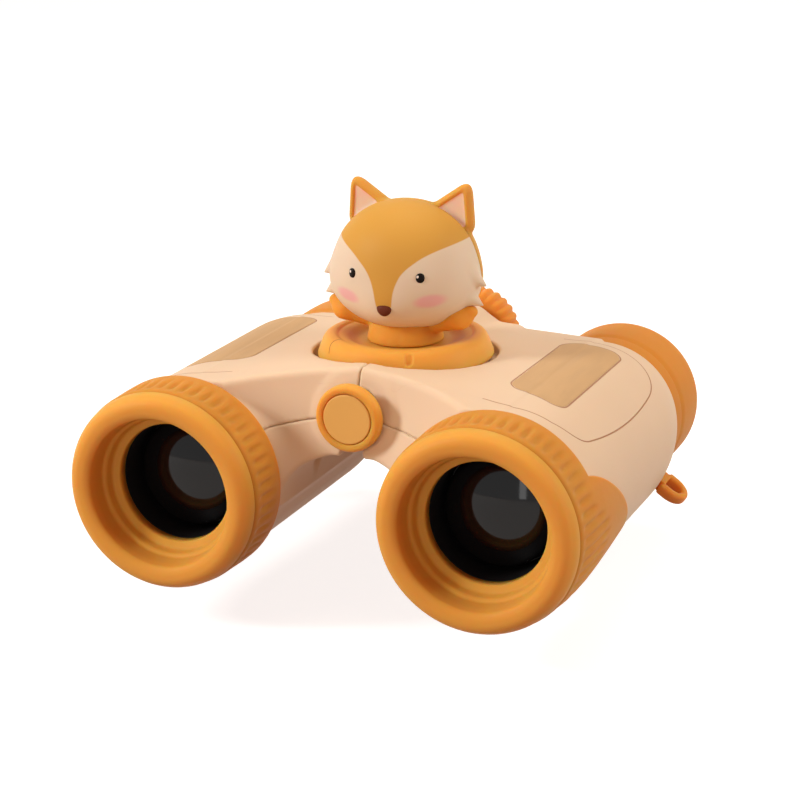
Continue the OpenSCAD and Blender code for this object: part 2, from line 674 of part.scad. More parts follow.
// Turntable: a shallow bowl with a rounded rim that runs on the post's pivot
module turntable_dish() {
    rim = 1.3;
    color(orange) placed() translate([0, dial_y, 0]) rotate_extrude($fn = 128)
        polygon(concat([[pivot_r + run_gap, dial_foot], [dial_r - 0.8, dial_foot], [dial_r, dial_foot + 1.2]],
            arc([dial_r - 0.2 - rim, dial_top - rim], rim, 0, 110, 8),
            [[dial_r - 4.5, dial_top - 1], [dial_r - 7, dial_floor + 0.3], [chest_foot_r + 1, dial_floor],
             [pivot_r + run_gap, dial_floor]]));
}

// The fox: chest and arms in one piece, and a head of two shells on the neck
module head_form(grow) {
    translate([0, dial_y + head_back, head_z]) {
        translate([-head_half, 0, 0]) rotate([0, 90, 0]) cylinder(r = head_r + grow, h = 2 * head_half);
        for (s = [-1, 1]) translate([s * head_half, 0, 0]) sphere(r = head_r + grow);
    }
}
neck_r = 3.4;
neck_top = head_z - head_r + neck_in;
module arm() {
    reach = [dial_r - chest_foot_r - arm_r - 1, -1, 1];
    translate([chest_foot_r - 1.2, dial_y, dial_top + arm_r - 0.8]) {
        rotate([0, 90 - atan2(reach.z, reach.x), atan2(reach.y, reach.x)]) cylinder(r = arm_r, h = norm(reach));
        translate(reach) sphere(r = arm_r);
    }
}
module fox_body() {
    foot = dial_floor + seat_gap;
    color(orange) placed() {
        difference() {
            union() {
                translate([0, dial_y, foot]) cylinder(r1 = chest_foot_r, r2 = chest_top_r, h = chest_h);
                arm();
                mirrored() arm();
            }
            upright(screw_head_r + 2 * seat_gap, 0, dial_floor + screw_head_h + seam_gap + seat_gap);
            head_form(seat_gap);
        }
        upright(neck_r, dial_floor + screw_head_h + seam_gap + 2 * seat_gap, neck_top);
    }
}
// Ear: a flat three-cornered plate behind the face, with a hollow front
function ear_outline(inset) = concat([[head_r * 0.27 + 2 * inset, head_z + head_r * 0.82]],
    arc([ear_tip_x - 0.1 * inset, ear_tip_z - ear_tip_r - inset], ear_tip_r - inset * 0.3, 123, 7, 8),
    [[head_r * 1.02 - inset * 0.8, head_z + head_r * 0.5], [head_r * 0.5 + inset, head_z + head_r * 0.45]]);
module ear_plate(inset, depth) {
    translate([0, dial_y + head_back + head_split + depth, 0]) rotate([90, 0, 0])
        linear_extrude(inset > 0 ? 2 * depth : depth) polygon(ear_outline(inset));
}
module ear() {
    difference() {
        ear_plate(0, ear_thick);
        ear_plate(1.3, ear_hollow_depth);
    }
}
// Pointed tufts of fur at the cheek: height, tilt
module cheek() {
    for (t = [[-1.2, 10], [-4.2, -8]])
        translate([head_half + head_r * 0.66, dial_y + head_back - 2.6, head_z + t[0]]) rotate([0, 90 - t[1], 0])
            cylinder(r1 = 4.2, r2 = 0.5, h = 5.2);
}
module behind(grow) { translate([-far / 2, dial_y + head_back + head_split - grow, -far / 2]) cube(far); }
module head_parts() {
    head_form(0);
    cheek();
    mirrored() cheek();
}
module fox_face() {
    color(cream) placed() difference() {
        head_parts();
        behind(seat_gap);
        upright(neck_r + seat_gap, 0, neck_top + seat_gap);
    }
}
module fox_head_back() {
    color(orange) placed() {
        difference() {
            union() {
                intersection() { head_parts(); behind(0); }
                ear();
                mirrored() ear();
            }
            upright(neck_r + seat_gap, 0, neck_top + seat_gap);
        }
    }
}

module side(left) { placed() if (left) { mirrored() children(); } else { children(); } }
module shell_upper(left) { color(cream) side(left) upper_shell(!left); }
module shell_lower(left) { color(cream) side(left) lower_shell(!left); }
module pad(left) { color(tan) side(left) thumb_pad(); }
module bezel(left) { color(orange) side(left) objective_bezel(); }
module sleeve(left) { color(orange) side(left) grip_sleeve(); }
module front_tube(left) { color(black) side(left) lens_tube(); }
module front_lens(left) { color(glass) side(left) lens(tube_r, lens_depth, lens_edge, lens_bulge); }
module retainer(left) { color(black) side(left) lens_retainer(); }
module cup(left) { color(dark_orange) side(left) eyecup(); }
module rear_tube(left) { color(black) side(left) eyepiece_tube(); }
module rear_lens(left) {
    color(glass) side(left) lens(eye_tube_r, barrel_rear + eye_lens_set, eye_lens_edge, -eye_lens_hollow);
}
module lug(left) { color(dark_orange) side(left) strap_lug(); }
module screws(left) { color(steel) side(left) shell_screws(); }
module sliding_cell(left) { color(black) side(left) focus_cell(); }
module sliding_lens(left) {
    color(glass) side(left) lens(cell_hole_r + 1.1, spool_y + 0.1, cell_len / 2 - 0.3, -0.8);
}

hinge_axle();
hinge_cap_ring();
hinge_cap_disc();
turntable_post();
turntable_screw();
axle_nut();
shell_upper(false);  // right_upper_shell
shell_lower(false);  // right_lower_shell
pad(false);  // right_thumb_pad
bezel(false);  // right_objective_bezel
sleeve(false);  // right_grip_sleeve
front_tube(false);  // right_lens_tube
front_lens(false);  // right_objective_lens
retainer(false);  // right_lens_retainer
cup(false);  // right_eyecup
rear_tube(false);  // right_eyepiece_tube
rear_lens(false);  // right_eye_lens
lug(false);  // right_strap_lug
screws(false);  // right_shell_screws
sliding_cell(false);  // right_focus_cell
sliding_lens(false);  // right_focus_lens
shell_upper(true);  // left_upper_shell
shell_lower(true);  // left_lower_shell
pad(true);  // left_thumb_pad
bezel(true);  // left_objective_bezel
sleeve(true);  // left_grip_sleeve
front_tube(true);  // left_lens_tube
front_lens(true);  // left_objective_lens
retainer(true);  // left_lens_retainer
cup(true);  // left_eyecup
rear_tube(true);  // left_eyepiece_tube
rear_lens(true);  // left_eye_lens
lug(true);  // left_strap_lug
screws(true);  // left_shell_screws
sliding_cell(true);  // left_focus_cell
sliding_lens(true);  // left_focus_lens
focus_wheel();
focus_screw();
focus_spool();
turntable_dish();
fox_body();
fox_face();
fox_head_back();
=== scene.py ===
import math
import bpy
import bmesh
import numpy as np
from mathutils import Matrix


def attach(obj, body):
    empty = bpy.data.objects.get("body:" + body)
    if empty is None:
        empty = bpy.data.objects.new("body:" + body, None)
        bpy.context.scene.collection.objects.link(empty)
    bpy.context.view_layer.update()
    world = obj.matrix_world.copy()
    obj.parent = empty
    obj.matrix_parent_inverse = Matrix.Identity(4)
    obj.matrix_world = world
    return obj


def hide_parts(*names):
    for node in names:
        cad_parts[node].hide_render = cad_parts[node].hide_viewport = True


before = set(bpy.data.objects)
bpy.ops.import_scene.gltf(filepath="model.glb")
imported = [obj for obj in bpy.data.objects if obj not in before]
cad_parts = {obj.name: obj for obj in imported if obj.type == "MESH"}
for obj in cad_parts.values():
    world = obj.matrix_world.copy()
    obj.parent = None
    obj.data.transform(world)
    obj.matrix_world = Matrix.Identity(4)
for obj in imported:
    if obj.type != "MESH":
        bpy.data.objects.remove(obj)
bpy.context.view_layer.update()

# Shapes are worked out in millimetres: y back from the rim of the objective opening, z up from the barrel axes.
MID_Y, GROUND, SPACING = 44.0, 18.9, 30.0
HINGE_Z, DIAL_Y = 12.35, 43.5
BARREL_R, BORE_R = 17.3, 15.0
BARREL_REAR, BRIDGE_REAR, TAPER_Y = 72.0, 75.0, 58.0
# Added to a distance kept on the points, because a mesh that keeps none reads as 0
KEPT_ZERO = 100.0
# Moves a distance so far off that its line isn't drawn there
FAR = 9.0
TINY = 1e-6


# Mesh helpers

def to_part(points):
    """Working millimetres to the part's metres: y less the middle, z plus the ground."""
    return (np.asarray(points, float) + np.array([0.0, -MID_Y, GROUND])) / 1000.0


def add_piece(name, points, faces, body, material, slot, replaces=(), left=False, marks=None, merge=False):
    """Smooth mesh piece that rides on a body; left mirrors it in the middle plane, merge closes seams and poles."""
    p = np.array(points, float)
    faces = np.asarray(faces, np.int32)
    if left:
        p[:, 0] = -p[:, 0]
        faces = faces[:, ::-1]
    mesh = bpy.data.meshes.new(name)
    mesh.vertices.add(len(p))
    mesh.vertices.foreach_set("co", to_part(p).astype(np.float32).ravel())
    n = faces.shape[1]
    mesh.loops.add(len(faces) * n)
    mesh.loops.foreach_set("vertex_index", faces.ravel())
    mesh.polygons.add(len(faces))
    mesh.polygons.foreach_set("loop_start", np.arange(0, len(faces) * n, n, dtype=np.int32))
    mesh.update(calc_edges=True)
    mesh.validate()
    if merge:
        bm = bmesh.new()
        bm.from_mesh(mesh)
        bmesh.ops.remove_doubles(bm, verts=bm.verts, dist=2e-6)
        bmesh.ops.recalc_face_normals(bm, faces=bm.faces)
        bm.to_mesh(mesh)
        bm.free()
    for key, distance in (marks or {}).items():
        layer = mesh.attributes.new(key, "FLOAT", "POINT")
        layer.data.foreach_set("value", (KEPT_ZERO + distance).astype(np.float32))
    mesh.shade_smooth()
    mesh.materials.append(material)
    obj = bpy.data.objects.new(name, mesh)
    bpy.context.scene.collection.objects.link(obj)
    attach(obj, body)
    if replaces:
        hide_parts(*replaces)
    return obj


def add_to_halves(name, node, points, faces, material, slot, **more):
    """One piece on the right half and its mirror image on the left half, each in place of the node there."""
    for side in ("right", "left"):
        add_piece(side + "_" + name, points, faces, side + "_half", material, slot, [side + "_" + node],
                  side == "left", **more)


def ring_faces(rows, columns, closed_rows=True):
    """Quads of a grid that closes round its columns, and round its rows too where asked."""
    i = np.arange(rows if closed_rows else rows - 1)[:, None]
    j = np.arange(columns)[None, :]
    i2, j2 = (i + 1) % rows, (j + 1) % columns
    quads = np.stack([i * columns + j, i * columns + j2, i2 * columns + j2, i2 * columns + j], -1)
    return quads.reshape(-1, 4)


def fillet(corners, steps):
    """Closed outline of corners [a, b, radius]: each becomes a quadratic curve tangent to both of its sides."""
    corners = np.array(corners, float)
    here = corners[:, :2]
    before, after = np.roll(here, 1, 0) - here, np.roll(here, -1, 0) - here
    long_before = np.linalg.norm(before, axis=1)[:, None]
    long_after = np.linalg.norm(after, axis=1)[:, None]
    room = np.minimum(corners[:, 2:], 0.48 * np.minimum(long_before, long_after))
    first = (here + before / long_before * room)[:, None]
    last = (here + after / long_after * room)[:, None]
    t = np.linspace(0, 1, steps + 1)[None, :, None]
    curves = (1 - t) ** 2 * first + 2 * t * (1 - t) * here[:, None] + t * t * last
    sharp = room[:, 0] < 1e-3
    curves[sharp] = here[sharp][:, None]
    kept = np.ones(curves.shape[:2], bool)
    kept[sharp, 1:] = False
    return curves[kept]


def angles(columns):
    """Even angles once round, without the last, which is the first again."""
    return np.linspace(0, 2 * np.pi, columns, endpoint=False)


def lathe(outline, x, z, columns):
    """Turns a closed outline of [radius, y] about an axis along y through (x, z)."""
    a = angles(columns)
    r, y = outline[:, 0][:, None], outline[:, 1][:, None]
    p = np.stack([x + r * np.cos(a), y + 0 * a, z + r * np.sin(a)], -1)
    return p.reshape(-1, 3), ring_faces(len(outline), columns)


# Forms are distances to a surface, negative inside

def fuse(a, b, k):
    """Union with a fillet of about k: the smaller value, blended where the two are within k."""
    h = np.clip(0.5 + 0.5 * (b - a) / k, 0, 1)
    return b * (1 - h) + a * h - k * h * (1 - h)


def trim(a, b, k):
    """Intersection with a rounded edge of about k: the larger value, blended where the two are within k."""
    return -fuse(-a, -b, k)


def ramp(a, b, v):
    """Smooth step from 0 at a to 1 at b: 3 t squared less 2 t cubed."""
    t = np.clip((v - a) / (b - a), 0, 1)
    return t * t * (3 - 2 * t)


def rod_y(x, z, cx, cz, r):
    """Distance to a round rod along y: the way from its line through (cx, cz), less its radius."""
    return np.sqrt((x - cx) ** 2 + (z - cz) ** 2) - r


def tapered_rod(p, a, b, ra, rb):
    """Distance to a rod with round ends whose radius goes from ra at a to rb at b."""
    a, b = np.array(a, float), np.array(b, float)
    d = b - a
    q = [p[i] - a[i] for i in range(3)]
    t = np.clip((q[0] * d[0] + q[1] * d[1] + q[2] * d[2]) / (d @ d), 0, 1)
    return np.sqrt(sum((q[i] - t * d[i]) ** 2 for i in range(3))) - (ra + (rb - ra) * t)


def ellipsoid(p, c, r):
    """Near distance to an ellipsoid: k0 (k0 - 1) / k1 with k0 the scaled and k1 the twice scaled length."""
    q = [(p[i] - c[i]) / r[i] for i in range(3)]
    k0 = np.sqrt(q[0] ** 2 + q[1] ** 2 + q[2] ** 2) + 1e-9
    k1 = np.sqrt(sum((q[i] / r[i]) ** 2 for i in range(3))) + 1e-9
    return k0 * (k0 - 1) / k1


def above_line(x, z, start, end):
    """Distance of (x, z) above the line from start to end, by the cross product over its length."""
    run, rise = end[0] - start[0], end[1] - start[1]
    return ((z - start[1]) * run - (x - start[0]) * rise) / math.hypot(run, rise)


def columns_of(p):
    """The x, y and z of an array of points, as a form reads them."""
    return [p[:, 0], p[:, 1], p[:, 2]]


def surface_of(form, low, high, cell):
    """Mesh where a form is zero: a point in each cell that it crosses, a quad on each edge that it cuts.

    A point starts at the mean of the cuts on its cell's edges, then slides down the form's slope three times.
    """
    low, high = np.array(low, float), np.array(high, float)
    count = np.ceil((high - low) / cell).astype(int) + 1
    axes = [low[i] + cell * np.arange(count[i]) for i in range(3)]
    grid = np.meshgrid(*axes, indexing="ij", sparse=True)
    f = np.broadcast_to(form([np.asarray(g) for g in grid]), tuple(count)).astype(np.float32)
    cells = count - 1
    total = np.zeros((int(np.prod(cells)), 3))
    hits = np.zeros(int(np.prod(cells)))
    stride = np.array([cells[1] * cells[2], cells[2], 1])
    quads = []
    for axis in range(3):
        a = np.take(f, np.arange(count[axis] - 1), axis)
        b = np.take(f, np.arange(1, count[axis]), axis)
        at = np.argwhere((a < 0) != (b < 0))
        u, v = (axis + 1) % 3, (axis + 2) % 3
        at = at[(at[:, u] > 0) & (at[:, v] > 0) & (at[:, u] < cells[u]) & (at[:, v] < cells[v])]
        va, vb = a[tuple(at.T)], b[tuple(at.T)]
        cut = at.astype(float)
        cut[:, axis] += va / (va - vb)
        around = []
        for du, dv in ((1, 1), (0, 1), (0, 0), (1, 0)):
            c = at.copy()
            c[:, u] -= du
            c[:, v] -= dv
            c = c @ stride
            around.append(c)
            for i in range(3):
                total[:, i] += np.bincount(c, cut[:, i], len(total))
            hits += np.bincount(c, minlength=len(hits))
        q = np.stack(around, -1)
        q[va >= 0] = q[va >= 0][:, ::-1]
        quads.append(q)
    quads = np.concatenate(quads)
    used = np.unique(quads)
    number = np.full(len(hits), -1)
    number[used] = np.arange(len(used))
    p = low + cell * total[used] / hits[used][:, None]
    e = cell * 0.2
    for _ in range(3):
        value = form(columns_of(p))
        slope = np.zeros_like(p)
        for i, d in enumerate(np.eye(3) * e):
            slope[:, i] = (form(columns_of(p + d)) - form(columns_of(p - d))) / (2 * e)
        move = (value / np.maximum((slope * slope).sum(1), 0.2))[:, None] * slope
        p -= np.clip(move, -0.4 * cell, 0.4 * cell)
    return p, number[quads]


# Effects that the materials share

DRIFT_SCALE, DRIFT_DETAIL, GRAIN_DETAIL = 45, 3, 4
BUMP_DEPTH, GROOVE_STRENGTH = 0.0003, 0.6


def effect(name, inputs, outputs):
    """New shader node group with named sockets: its tree, the sockets it is given and those it puts out."""
    tree = bpy.data.node_groups.new(name, "ShaderNodeTree")
    for way, sockets in (("INPUT", inputs), ("OUTPUT", outputs)):
        for label, kind in sockets.items():
            tree.interface.new_socket(label, in_out=way, socket_type="NodeSocket" + kind)
    return tree, tree.nodes.new("NodeGroupInput").outputs, tree.nodes.new("NodeGroupOutput").inputs


def lay_effect(nodes, links, tree, values):
    """Node of an effect in a material; a value is a socket to link, or a constant for the node's own socket."""
    node = nodes.new("ShaderNodeGroup")
    node.node_tree = tree
    for label, value in values.items():
        if isinstance(value, bpy.types.NodeSocket):
            links.new(value, node.inputs[label])
        else:
            node.inputs[label].default_value = value
    return node.outputs


def noise(tree, vector, detail):
    """Noise texture of an effect, read at the given place; its scale is left to the caller."""
    node = tree.nodes.new("ShaderNodeTexNoise")
    node.inputs["Detail"].default_value = detail
    tree.links.new(vector, node.inputs["Vector"])
    return node


def edge_mask(tree, distance, start, end):
    """Mask of an effect: 1 where the distance is below start, 0 above end, smooth between."""
    node = tree.nodes.new("ShaderNodeMapRange")
    node.interpolation_type = "SMOOTHSTEP"
    node.inputs["To Min"].default_value = 1
    node.inputs["To Max"].default_value = 0
    for socket, source in (("Value", distance), ("From Min", start), ("From Max", end)):
        tree.links.new(source, node.inputs[socket])
    return node.outputs["Result"]


def two_colours(tree, mask, a, b):
    """Colour of an effect: a where the mask is 0 and b where it is 1."""
    node = tree.nodes.new("ShaderNodeMix")
    node.data_type = "RGBA"
    for socket, source in ((0, mask), (6, a), (7, b)):
        tree.links.new(source, node.inputs[socket])
    return node.outputs[2]


def grain_effect():
    """Slow drift between two colours, and one fine noise that shapes the bump and moves the gloss."""
    tree, given, result = effect(
        "moulded_grain",
        {"Vector": "Vector", "Stretch": "Vector", "Dark": "Color", "Light": "Color", "Grain Scale": "Float",
         "Grain Strength": "Float", "Smoothest": "Float", "Roughest": "Float"},
        {"Color": "Color", "Grain": "Float", "Roughness": "Float", "Normal": "Vector"})
    nodes, links = tree.nodes, tree.links
    drift = noise(tree, given["Vector"], DRIFT_DETAIL)
    drift.inputs["Scale"].default_value = DRIFT_SCALE
    links.new(two_colours(tree, drift.outputs["Fac"], given["Dark"], given["Light"]), result["Color"])
    stretched = nodes.new("ShaderNodeVectorMath")
    stretched.operation = "MULTIPLY"
    links.new(given["Vector"], stretched.inputs[0])
    links.new(given["Stretch"], stretched.inputs[1])
    fine = noise(tree, stretched.outputs["Vector"], GRAIN_DETAIL)
    links.new(given["Grain Scale"], fine.inputs["Scale"])
    links.new(fine.outputs["Fac"], result["Grain"])
    gloss = nodes.new("ShaderNodeMapRange")
    links.new(fine.outputs["Fac"], gloss.inputs["Value"])
    links.new(given["Smoothest"], gloss.inputs["To Min"])
    links.new(given["Roughest"], gloss.inputs["To Max"])
    links.new(gloss.outputs["Result"], result["Roughness"])
    bump = nodes.new("ShaderNodeBump")
    bump.inputs["Distance"].default_value = BUMP_DEPTH
    links.new(fine.outputs["Fac"], bump.inputs["Height"])
    links.new(given["Grain Strength"], bump.inputs["Strength"])
    links.new(bump.outputs["Normal"], result["Normal"])
    return tree


def paint_effect():
    """Paint laid over a colour where a distance is below an edge."""
    tree, given, result = effect(
        "painted_edge",
        {"Distance": "Float", "Start": "Float", "End": "Float", "Color": "Color", "Paint": "Color"},
        {"Color": "Color"})
    mask = edge_mask(tree, given["Distance"], given["Start"], given["End"])
    tree.links.new(two_colours(tree, mask, given["Color"], given["Paint"]), result["Color"])
    return tree


def groove_effect():
    """Thin groove where a distance passes 0: a darker colour and a dent in the normal."""
    tree, given, result = effect(
        "panel_groove",
        {"Distance": "Float", "Start": "Float", "End": "Float", "Color": "Color", "Shade": "Color",
         "Normal": "Vector"},
        {"Color": "Color", "Normal": "Vector"})
    away = tree.nodes.new("ShaderNodeMath")
    away.operation = "ABSOLUTE"
    tree.links.new(given["Distance"], away.inputs[0])
    mask = edge_mask(tree, away.outputs[0], given["Start"], given["End"])
    tree.links.new(two_colours(tree, mask, given["Color"], given["Shade"]), result["Color"])
    dent = tree.nodes.new("ShaderNodeBump")
    dent.invert = True
    dent.inputs["Strength"].default_value = GROOVE_STRENGTH
    dent.inputs["Distance"].default_value = BUMP_DEPTH
    tree.links.new(mask, dent.inputs["Height"])
    tree.links.new(given["Normal"], dent.inputs["Normal"])
    tree.links.new(dent.outputs["Normal"], result["Normal"])
    return tree


GRAIN, PAINT, GROOVE = grain_effect(), paint_effect(), groove_effect()


# Materials

# How far the gloss drifts, where a streak of stretched grain starts and ends, and how dark it is
GLOSS_DRIFT = 0.06
STREAK_START, STREAK_END, STREAK_SHADE = 0.35, 0.62, 0.93
# A groove is full inside this part of its half width
GROOVE_FLAT = 0.45
# Light under the skin of a soft plastic: how far each colour goes, and in metres how far that is
SOFT_RADIUS, SOFT_SCALE = (1.0, 0.18, 0.06), 0.007
SOFT_SPECULAR, HARD_SPECULAR = 0.09, 0.35


def shaded(colour, factor):
    """A colour times a factor, at most 1, with its alpha."""
    return (*(min(1, c * factor) for c in colour), 1)


def kept_distance(nodes, links, name):
    """Socket with a distance kept on the points, less what was added to it there."""
    kept = nodes.new("ShaderNodeAttribute")
    kept.attribute_name = name
    less = nodes.new("ShaderNodeMath")
    less.operation = "SUBTRACT"
    less.inputs[1].default_value = KEPT_ZERO
    links.new(kept.outputs["Fac"], less.inputs[0])
    return less.outputs[0]


def moulded(name, colour, roughness, grain=0.03, soft=0.0, painted=(), groove=None, mottle=0.05, scale=900.0,
            stretch=None, metallic=0.0, specular=None):
    """Moulded finish: colour that drifts by mottle, grain in bump and gloss, and marks kept on the points."""
    mat = bpy.data.materials.new(name)
    mat.use_nodes = True
    nodes, links = mat.node_tree.nodes, mat.node_tree.links
    shader = nodes["Principled BSDF"]
    surface = lay_effect(nodes, links, GRAIN, {
        "Vector": nodes.new("ShaderNodeTexCoord").outputs["Object"], "Stretch": stretch or (1, 1, 1),
        "Dark": shaded(colour, 1 - mottle), "Light": shaded(colour, 1 + mottle),
        "Grain Scale": scale, "Grain Strength": grain,
        "Smoothest": max(0.02, roughness - GLOSS_DRIFT), "Roughest": min(1, roughness + GLOSS_DRIFT)})
    tint, normal = surface["Color"], surface["Normal"]
    if stretch:
        tint = lay_effect(nodes, links, PAINT, {
            "Distance": surface["Grain"], "Start": STREAK_START, "End": STREAK_END, "Color": tint,
            "Paint": shaded(colour, STREAK_SHADE)})["Color"]
    for key, paint, start, end in painted:
        tint = lay_effect(nodes, links, PAINT, {
            "Distance": kept_distance(nodes, links, key), "Start": start, "End": end, "Color": tint,
            "Paint": (*paint, 1)})["Color"]
    if groove:
        key, shade, width = groove
        drawn = lay_effect(nodes, links, GROOVE, {
            "Distance": kept_distance(nodes, links, key), "Start": width * GROOVE_FLAT, "End": width,
            "Color": tint, "Shade": (*shade, 1), "Normal": normal})
        tint, normal = drawn["Color"], drawn["Normal"]
    links.new(tint, shader.inputs["Base Color"])
    links.new(normal, shader.inputs["Normal"])
    links.new(surface["Roughness"], shader.inputs["Roughness"])
    shader.inputs["Metallic"].default_value = metallic
    if soft:
        shader.inputs["Subsurface Weight"].default_value = soft
        shader.inputs["Subsurface Radius"].default_value = SOFT_RADIUS
        shader.inputs["Subsurface Scale"].default_value = SOFT_SCALE
    shader.inputs["Specular IOR Level"].default_value = specular or (SOFT_SPECULAR if soft else HARD_SPECULAR)
    mat.diffuse_color = (*colour, 1)
    return mat


FOX_ORANGE = (0.640, 0.350, 0.068)
cream = moulded("cream_plastic", (0.760, 0.600, 0.435), 0.52, soft=0.1,
                groove=("line", (0.42, 0.22, 0.12), 0.17))
tan = moulded("tan_plastic", (0.570, 0.370, 0.178), 0.6, grain=0.35, mottle=0.06, scale=420,
              stretch=(1.0, 0.18, 1.0))
orange = moulded("orange_plastic", (0.770, 0.375, 0.068), 0.48, soft=0.6,
                 groove=("line", (0.30, 0.09, 0.02), 0.16))
# A darker, redder copy of the orange plastic: painted shade on the strap lugs and focus wheel, which sit in shadow;
# the axle nut takes it too
shade_darkened_orange = moulded("dark_orange_plastic", (0.720, 0.290, 0.048), 0.5, soft=0.6)
rubber = moulded("orange_rubber", (0.640, 0.265, 0.042), 0.56, grain=0.06, soft=0.6, scale=1400)
face_paint = moulded("fox_face_paint", (0.760, 0.645, 0.500), 0.5, soft=0.1,
                     painted=(("blush", (0.80, 0.47, 0.47), -0.40, 0.35), ("mask", FOX_ORANGE, -0.12, 0.12)))
head_paint = moulded("fox_head_paint", FOX_ORANGE, 0.5, soft=0.6,
                     painted=(("inner_ear", (0.850, 0.640, 0.500), -0.10, 0.10),))
body_paint = moulded("fox_body_plastic", (0.780, 0.330, 0.052), 0.5, soft=0.6)
disc_orange = moulded("cap_disc_plastic", (0.760, 0.440, 0.115), 0.5)
black = moulded("black_plastic", (0.005, 0.0045, 0.005), 0.45, grain=0.05, mottle=0.2)
steel = moulded("steel", (0.50, 0.49, 0.47), 0.34, grain=0.12, mottle=0.04, stretch=(1.0, 0.05, 1.0),
                metallic=1.0)
eye_black = moulded("eye_black", (0.008, 0.005, 0.004), 0.4, grain=0.0, mottle=0.1, specular=0.08)
nose_brown = moulded("nose_brown", (0.125, 0.030, 0.014), 0.42, mottle=0.12, specular=0.08)
glint = moulded("eye_glint", (0.85, 0.78, 0.72), 0.3, grain=0.0, mottle=0.02)
glass = moulded("lens_glass", (0.004, 0.004, 0.005), 0.08, grain=0.0, mottle=0.3, specular=0.26)


# Shells of the two halves

SHELL_FRONT = 8.0
DECK_Y, DECK_Z = [8, 28, 58, 75], [19.9, 19.6, 17.7, 16.6]
SWEEP_R, SWEEP_Y, SWEEP_LEAN = 34.5, -16.0, math.radians(18)
ARCH_HALF, ARCH_RISE, ARCH_Z = 13.4, 9.0, -4.0
HUMP_R = 7.5
SLEEVE_ROOM_R, SLEEVE_ROOM_END = 18.85, 12.8
MIDDLE_GAP, NOTCH_SLOPE, NOTCH_LEAN = 0.10, math.tan(math.radians(17)), 0.956
WELL_R, WELL_FLOOR, TRENCH_R, TRENCH_FLOOR, POST_ROOM_R = 17.5, 17, 15.5, 15.4, 5.3
HINGE_ROOM_R, CAP_ROOM_R, CAP_ROOM_END = 4.6, 6.5, 18.3
BORE_END, EYE_BORE_R, EYE_BORE_END, SIGHT_R = 64.3, 12.1, 69, 10.2
ARM_SLOT_X, ARM_SLOT_Y, ARM_SLOT_LONG, ARM_SLOT_HIGH = 22.5, 58.5, 3.8, 2.0
SCREW_X, SCREW_Y, SCREW_R, SCREW_Z = 10.05, (28.0, 70.8), 2.3, 4.6
SEAM = ((0.0, HINGE_Z), (17.4, 9.0), (38.65, -15.0))
PAD_X, PAD_Y, PAD_HALF, PAD_REACH, PAD_CORNER, PAD_SLANT = 31.5, 44.8, 6, 16, 3.0, 0.33


def barrel_radius(y):
    """Straight, then a shallow arc down to the rear end: the drop grows with the square of the way along it."""
    return BARREL_R - 2.5 * np.clip((y - TAPER_Y) / 14, 0, 1.2) ** 2


def deck_height(x, y):
    """Height of the deck: three straight runs along y, falling from beside the hump to the top of the barrel."""
    inner = np.interp(y, DECK_Y, DECK_Z)
    outer = np.where(y < TAPER_Y, BARREL_R, BARREL_R - 2.7 * ((y - TAPER_Y) / 17) ** 2)
    return inner + (outer - inner) * np.clip((x - 5) / 25, 0, 1)


def sweep(x, y, z):
    """Distance in front of the bridge's hollow face, a leaning cylinder: its radius less the way from its axis."""
    q = (y - SWEEP_Y) * math.cos(SWEEP_LEAN) - (z - HINGE_Z) * math.sin(SWEEP_LEAN)
    return SWEEP_R - np.sqrt(x * x + q * q)


def arch(x, z):
    """Near distance into the arch under the bridge, an ellipse: 1 less the scaled length, over its slope."""
    u, v = x / ARCH_HALF, (z - ARCH_Z) / ARCH_RISE
    e = np.sqrt(u ** 2 + v ** 2) + TINY
    return -(e - 1) / (np.sqrt((u / ARCH_HALF) ** 2 + (v / ARCH_RISE) ** 2) / e + TINY)


def pad_area(x, y, grow):
    """Distance in plan to the thumb pad's outline, a rectangle with rounded corners.

    Its front end slants: y grows with the way out from the inner side, more so towards the front.
    """
    y = y + PAD_SLANT * np.clip(x - (PAD_X - PAD_HALF), 0, 14) * np.clip((PAD_Y - y) / PAD_REACH, 0, 1.2)
    qx = np.abs(x - PAD_X) - (PAD_HALF + grow - PAD_CORNER)
    qy = np.abs(y - PAD_Y) - (PAD_REACH + grow - PAD_CORNER)
    outside = np.sqrt(np.maximum(qx, 0) ** 2 + np.maximum(qy, 0) ** 2)
    return outside + np.minimum(np.maximum(qx, qy), 0) - PAD_CORNER


def skin(p):
    """Outside of the right half: barrel, bridge and hump run together, with a wide fillet low at the front."""
    x, y, z = p
    r = rod_y(x, z, SPACING, 0, 0)
    barrel = trim(trim(r - barrel_radius(y), SHELL_FRONT - y, 0.4), y - BARREL_REAR, 0.9)
    front = sweep(x, y, z)
    rear = y - BRIDGE_REAR + (BRIDGE_REAR - BARREL_REAR) * ramp(11.5, 14.5, x)
    bridge = trim(trim(z - deck_height(x, y), front, 1.2), arch(x, z), 1.0)
    bridge = trim(trim(bridge, np.maximum(ARCH_Z - z, x - SPACING), 0.5), rear, 1.6)
    bridge = trim(bridge, -np.maximum(r - SLEEVE_ROOM_R, y - SLEEVE_ROOM_END), 0.4)
    hump = trim(trim(rod_y(x, z, 0, HINGE_Z, HUMP_R), front, 1.0), y - BRIDGE_REAR, 1.2)
    bridge = fuse(bridge, hump, 1.6)
    return fuse(barrel, bridge, 0.6 + 3.0 * ramp(13.5, 7.0, z))


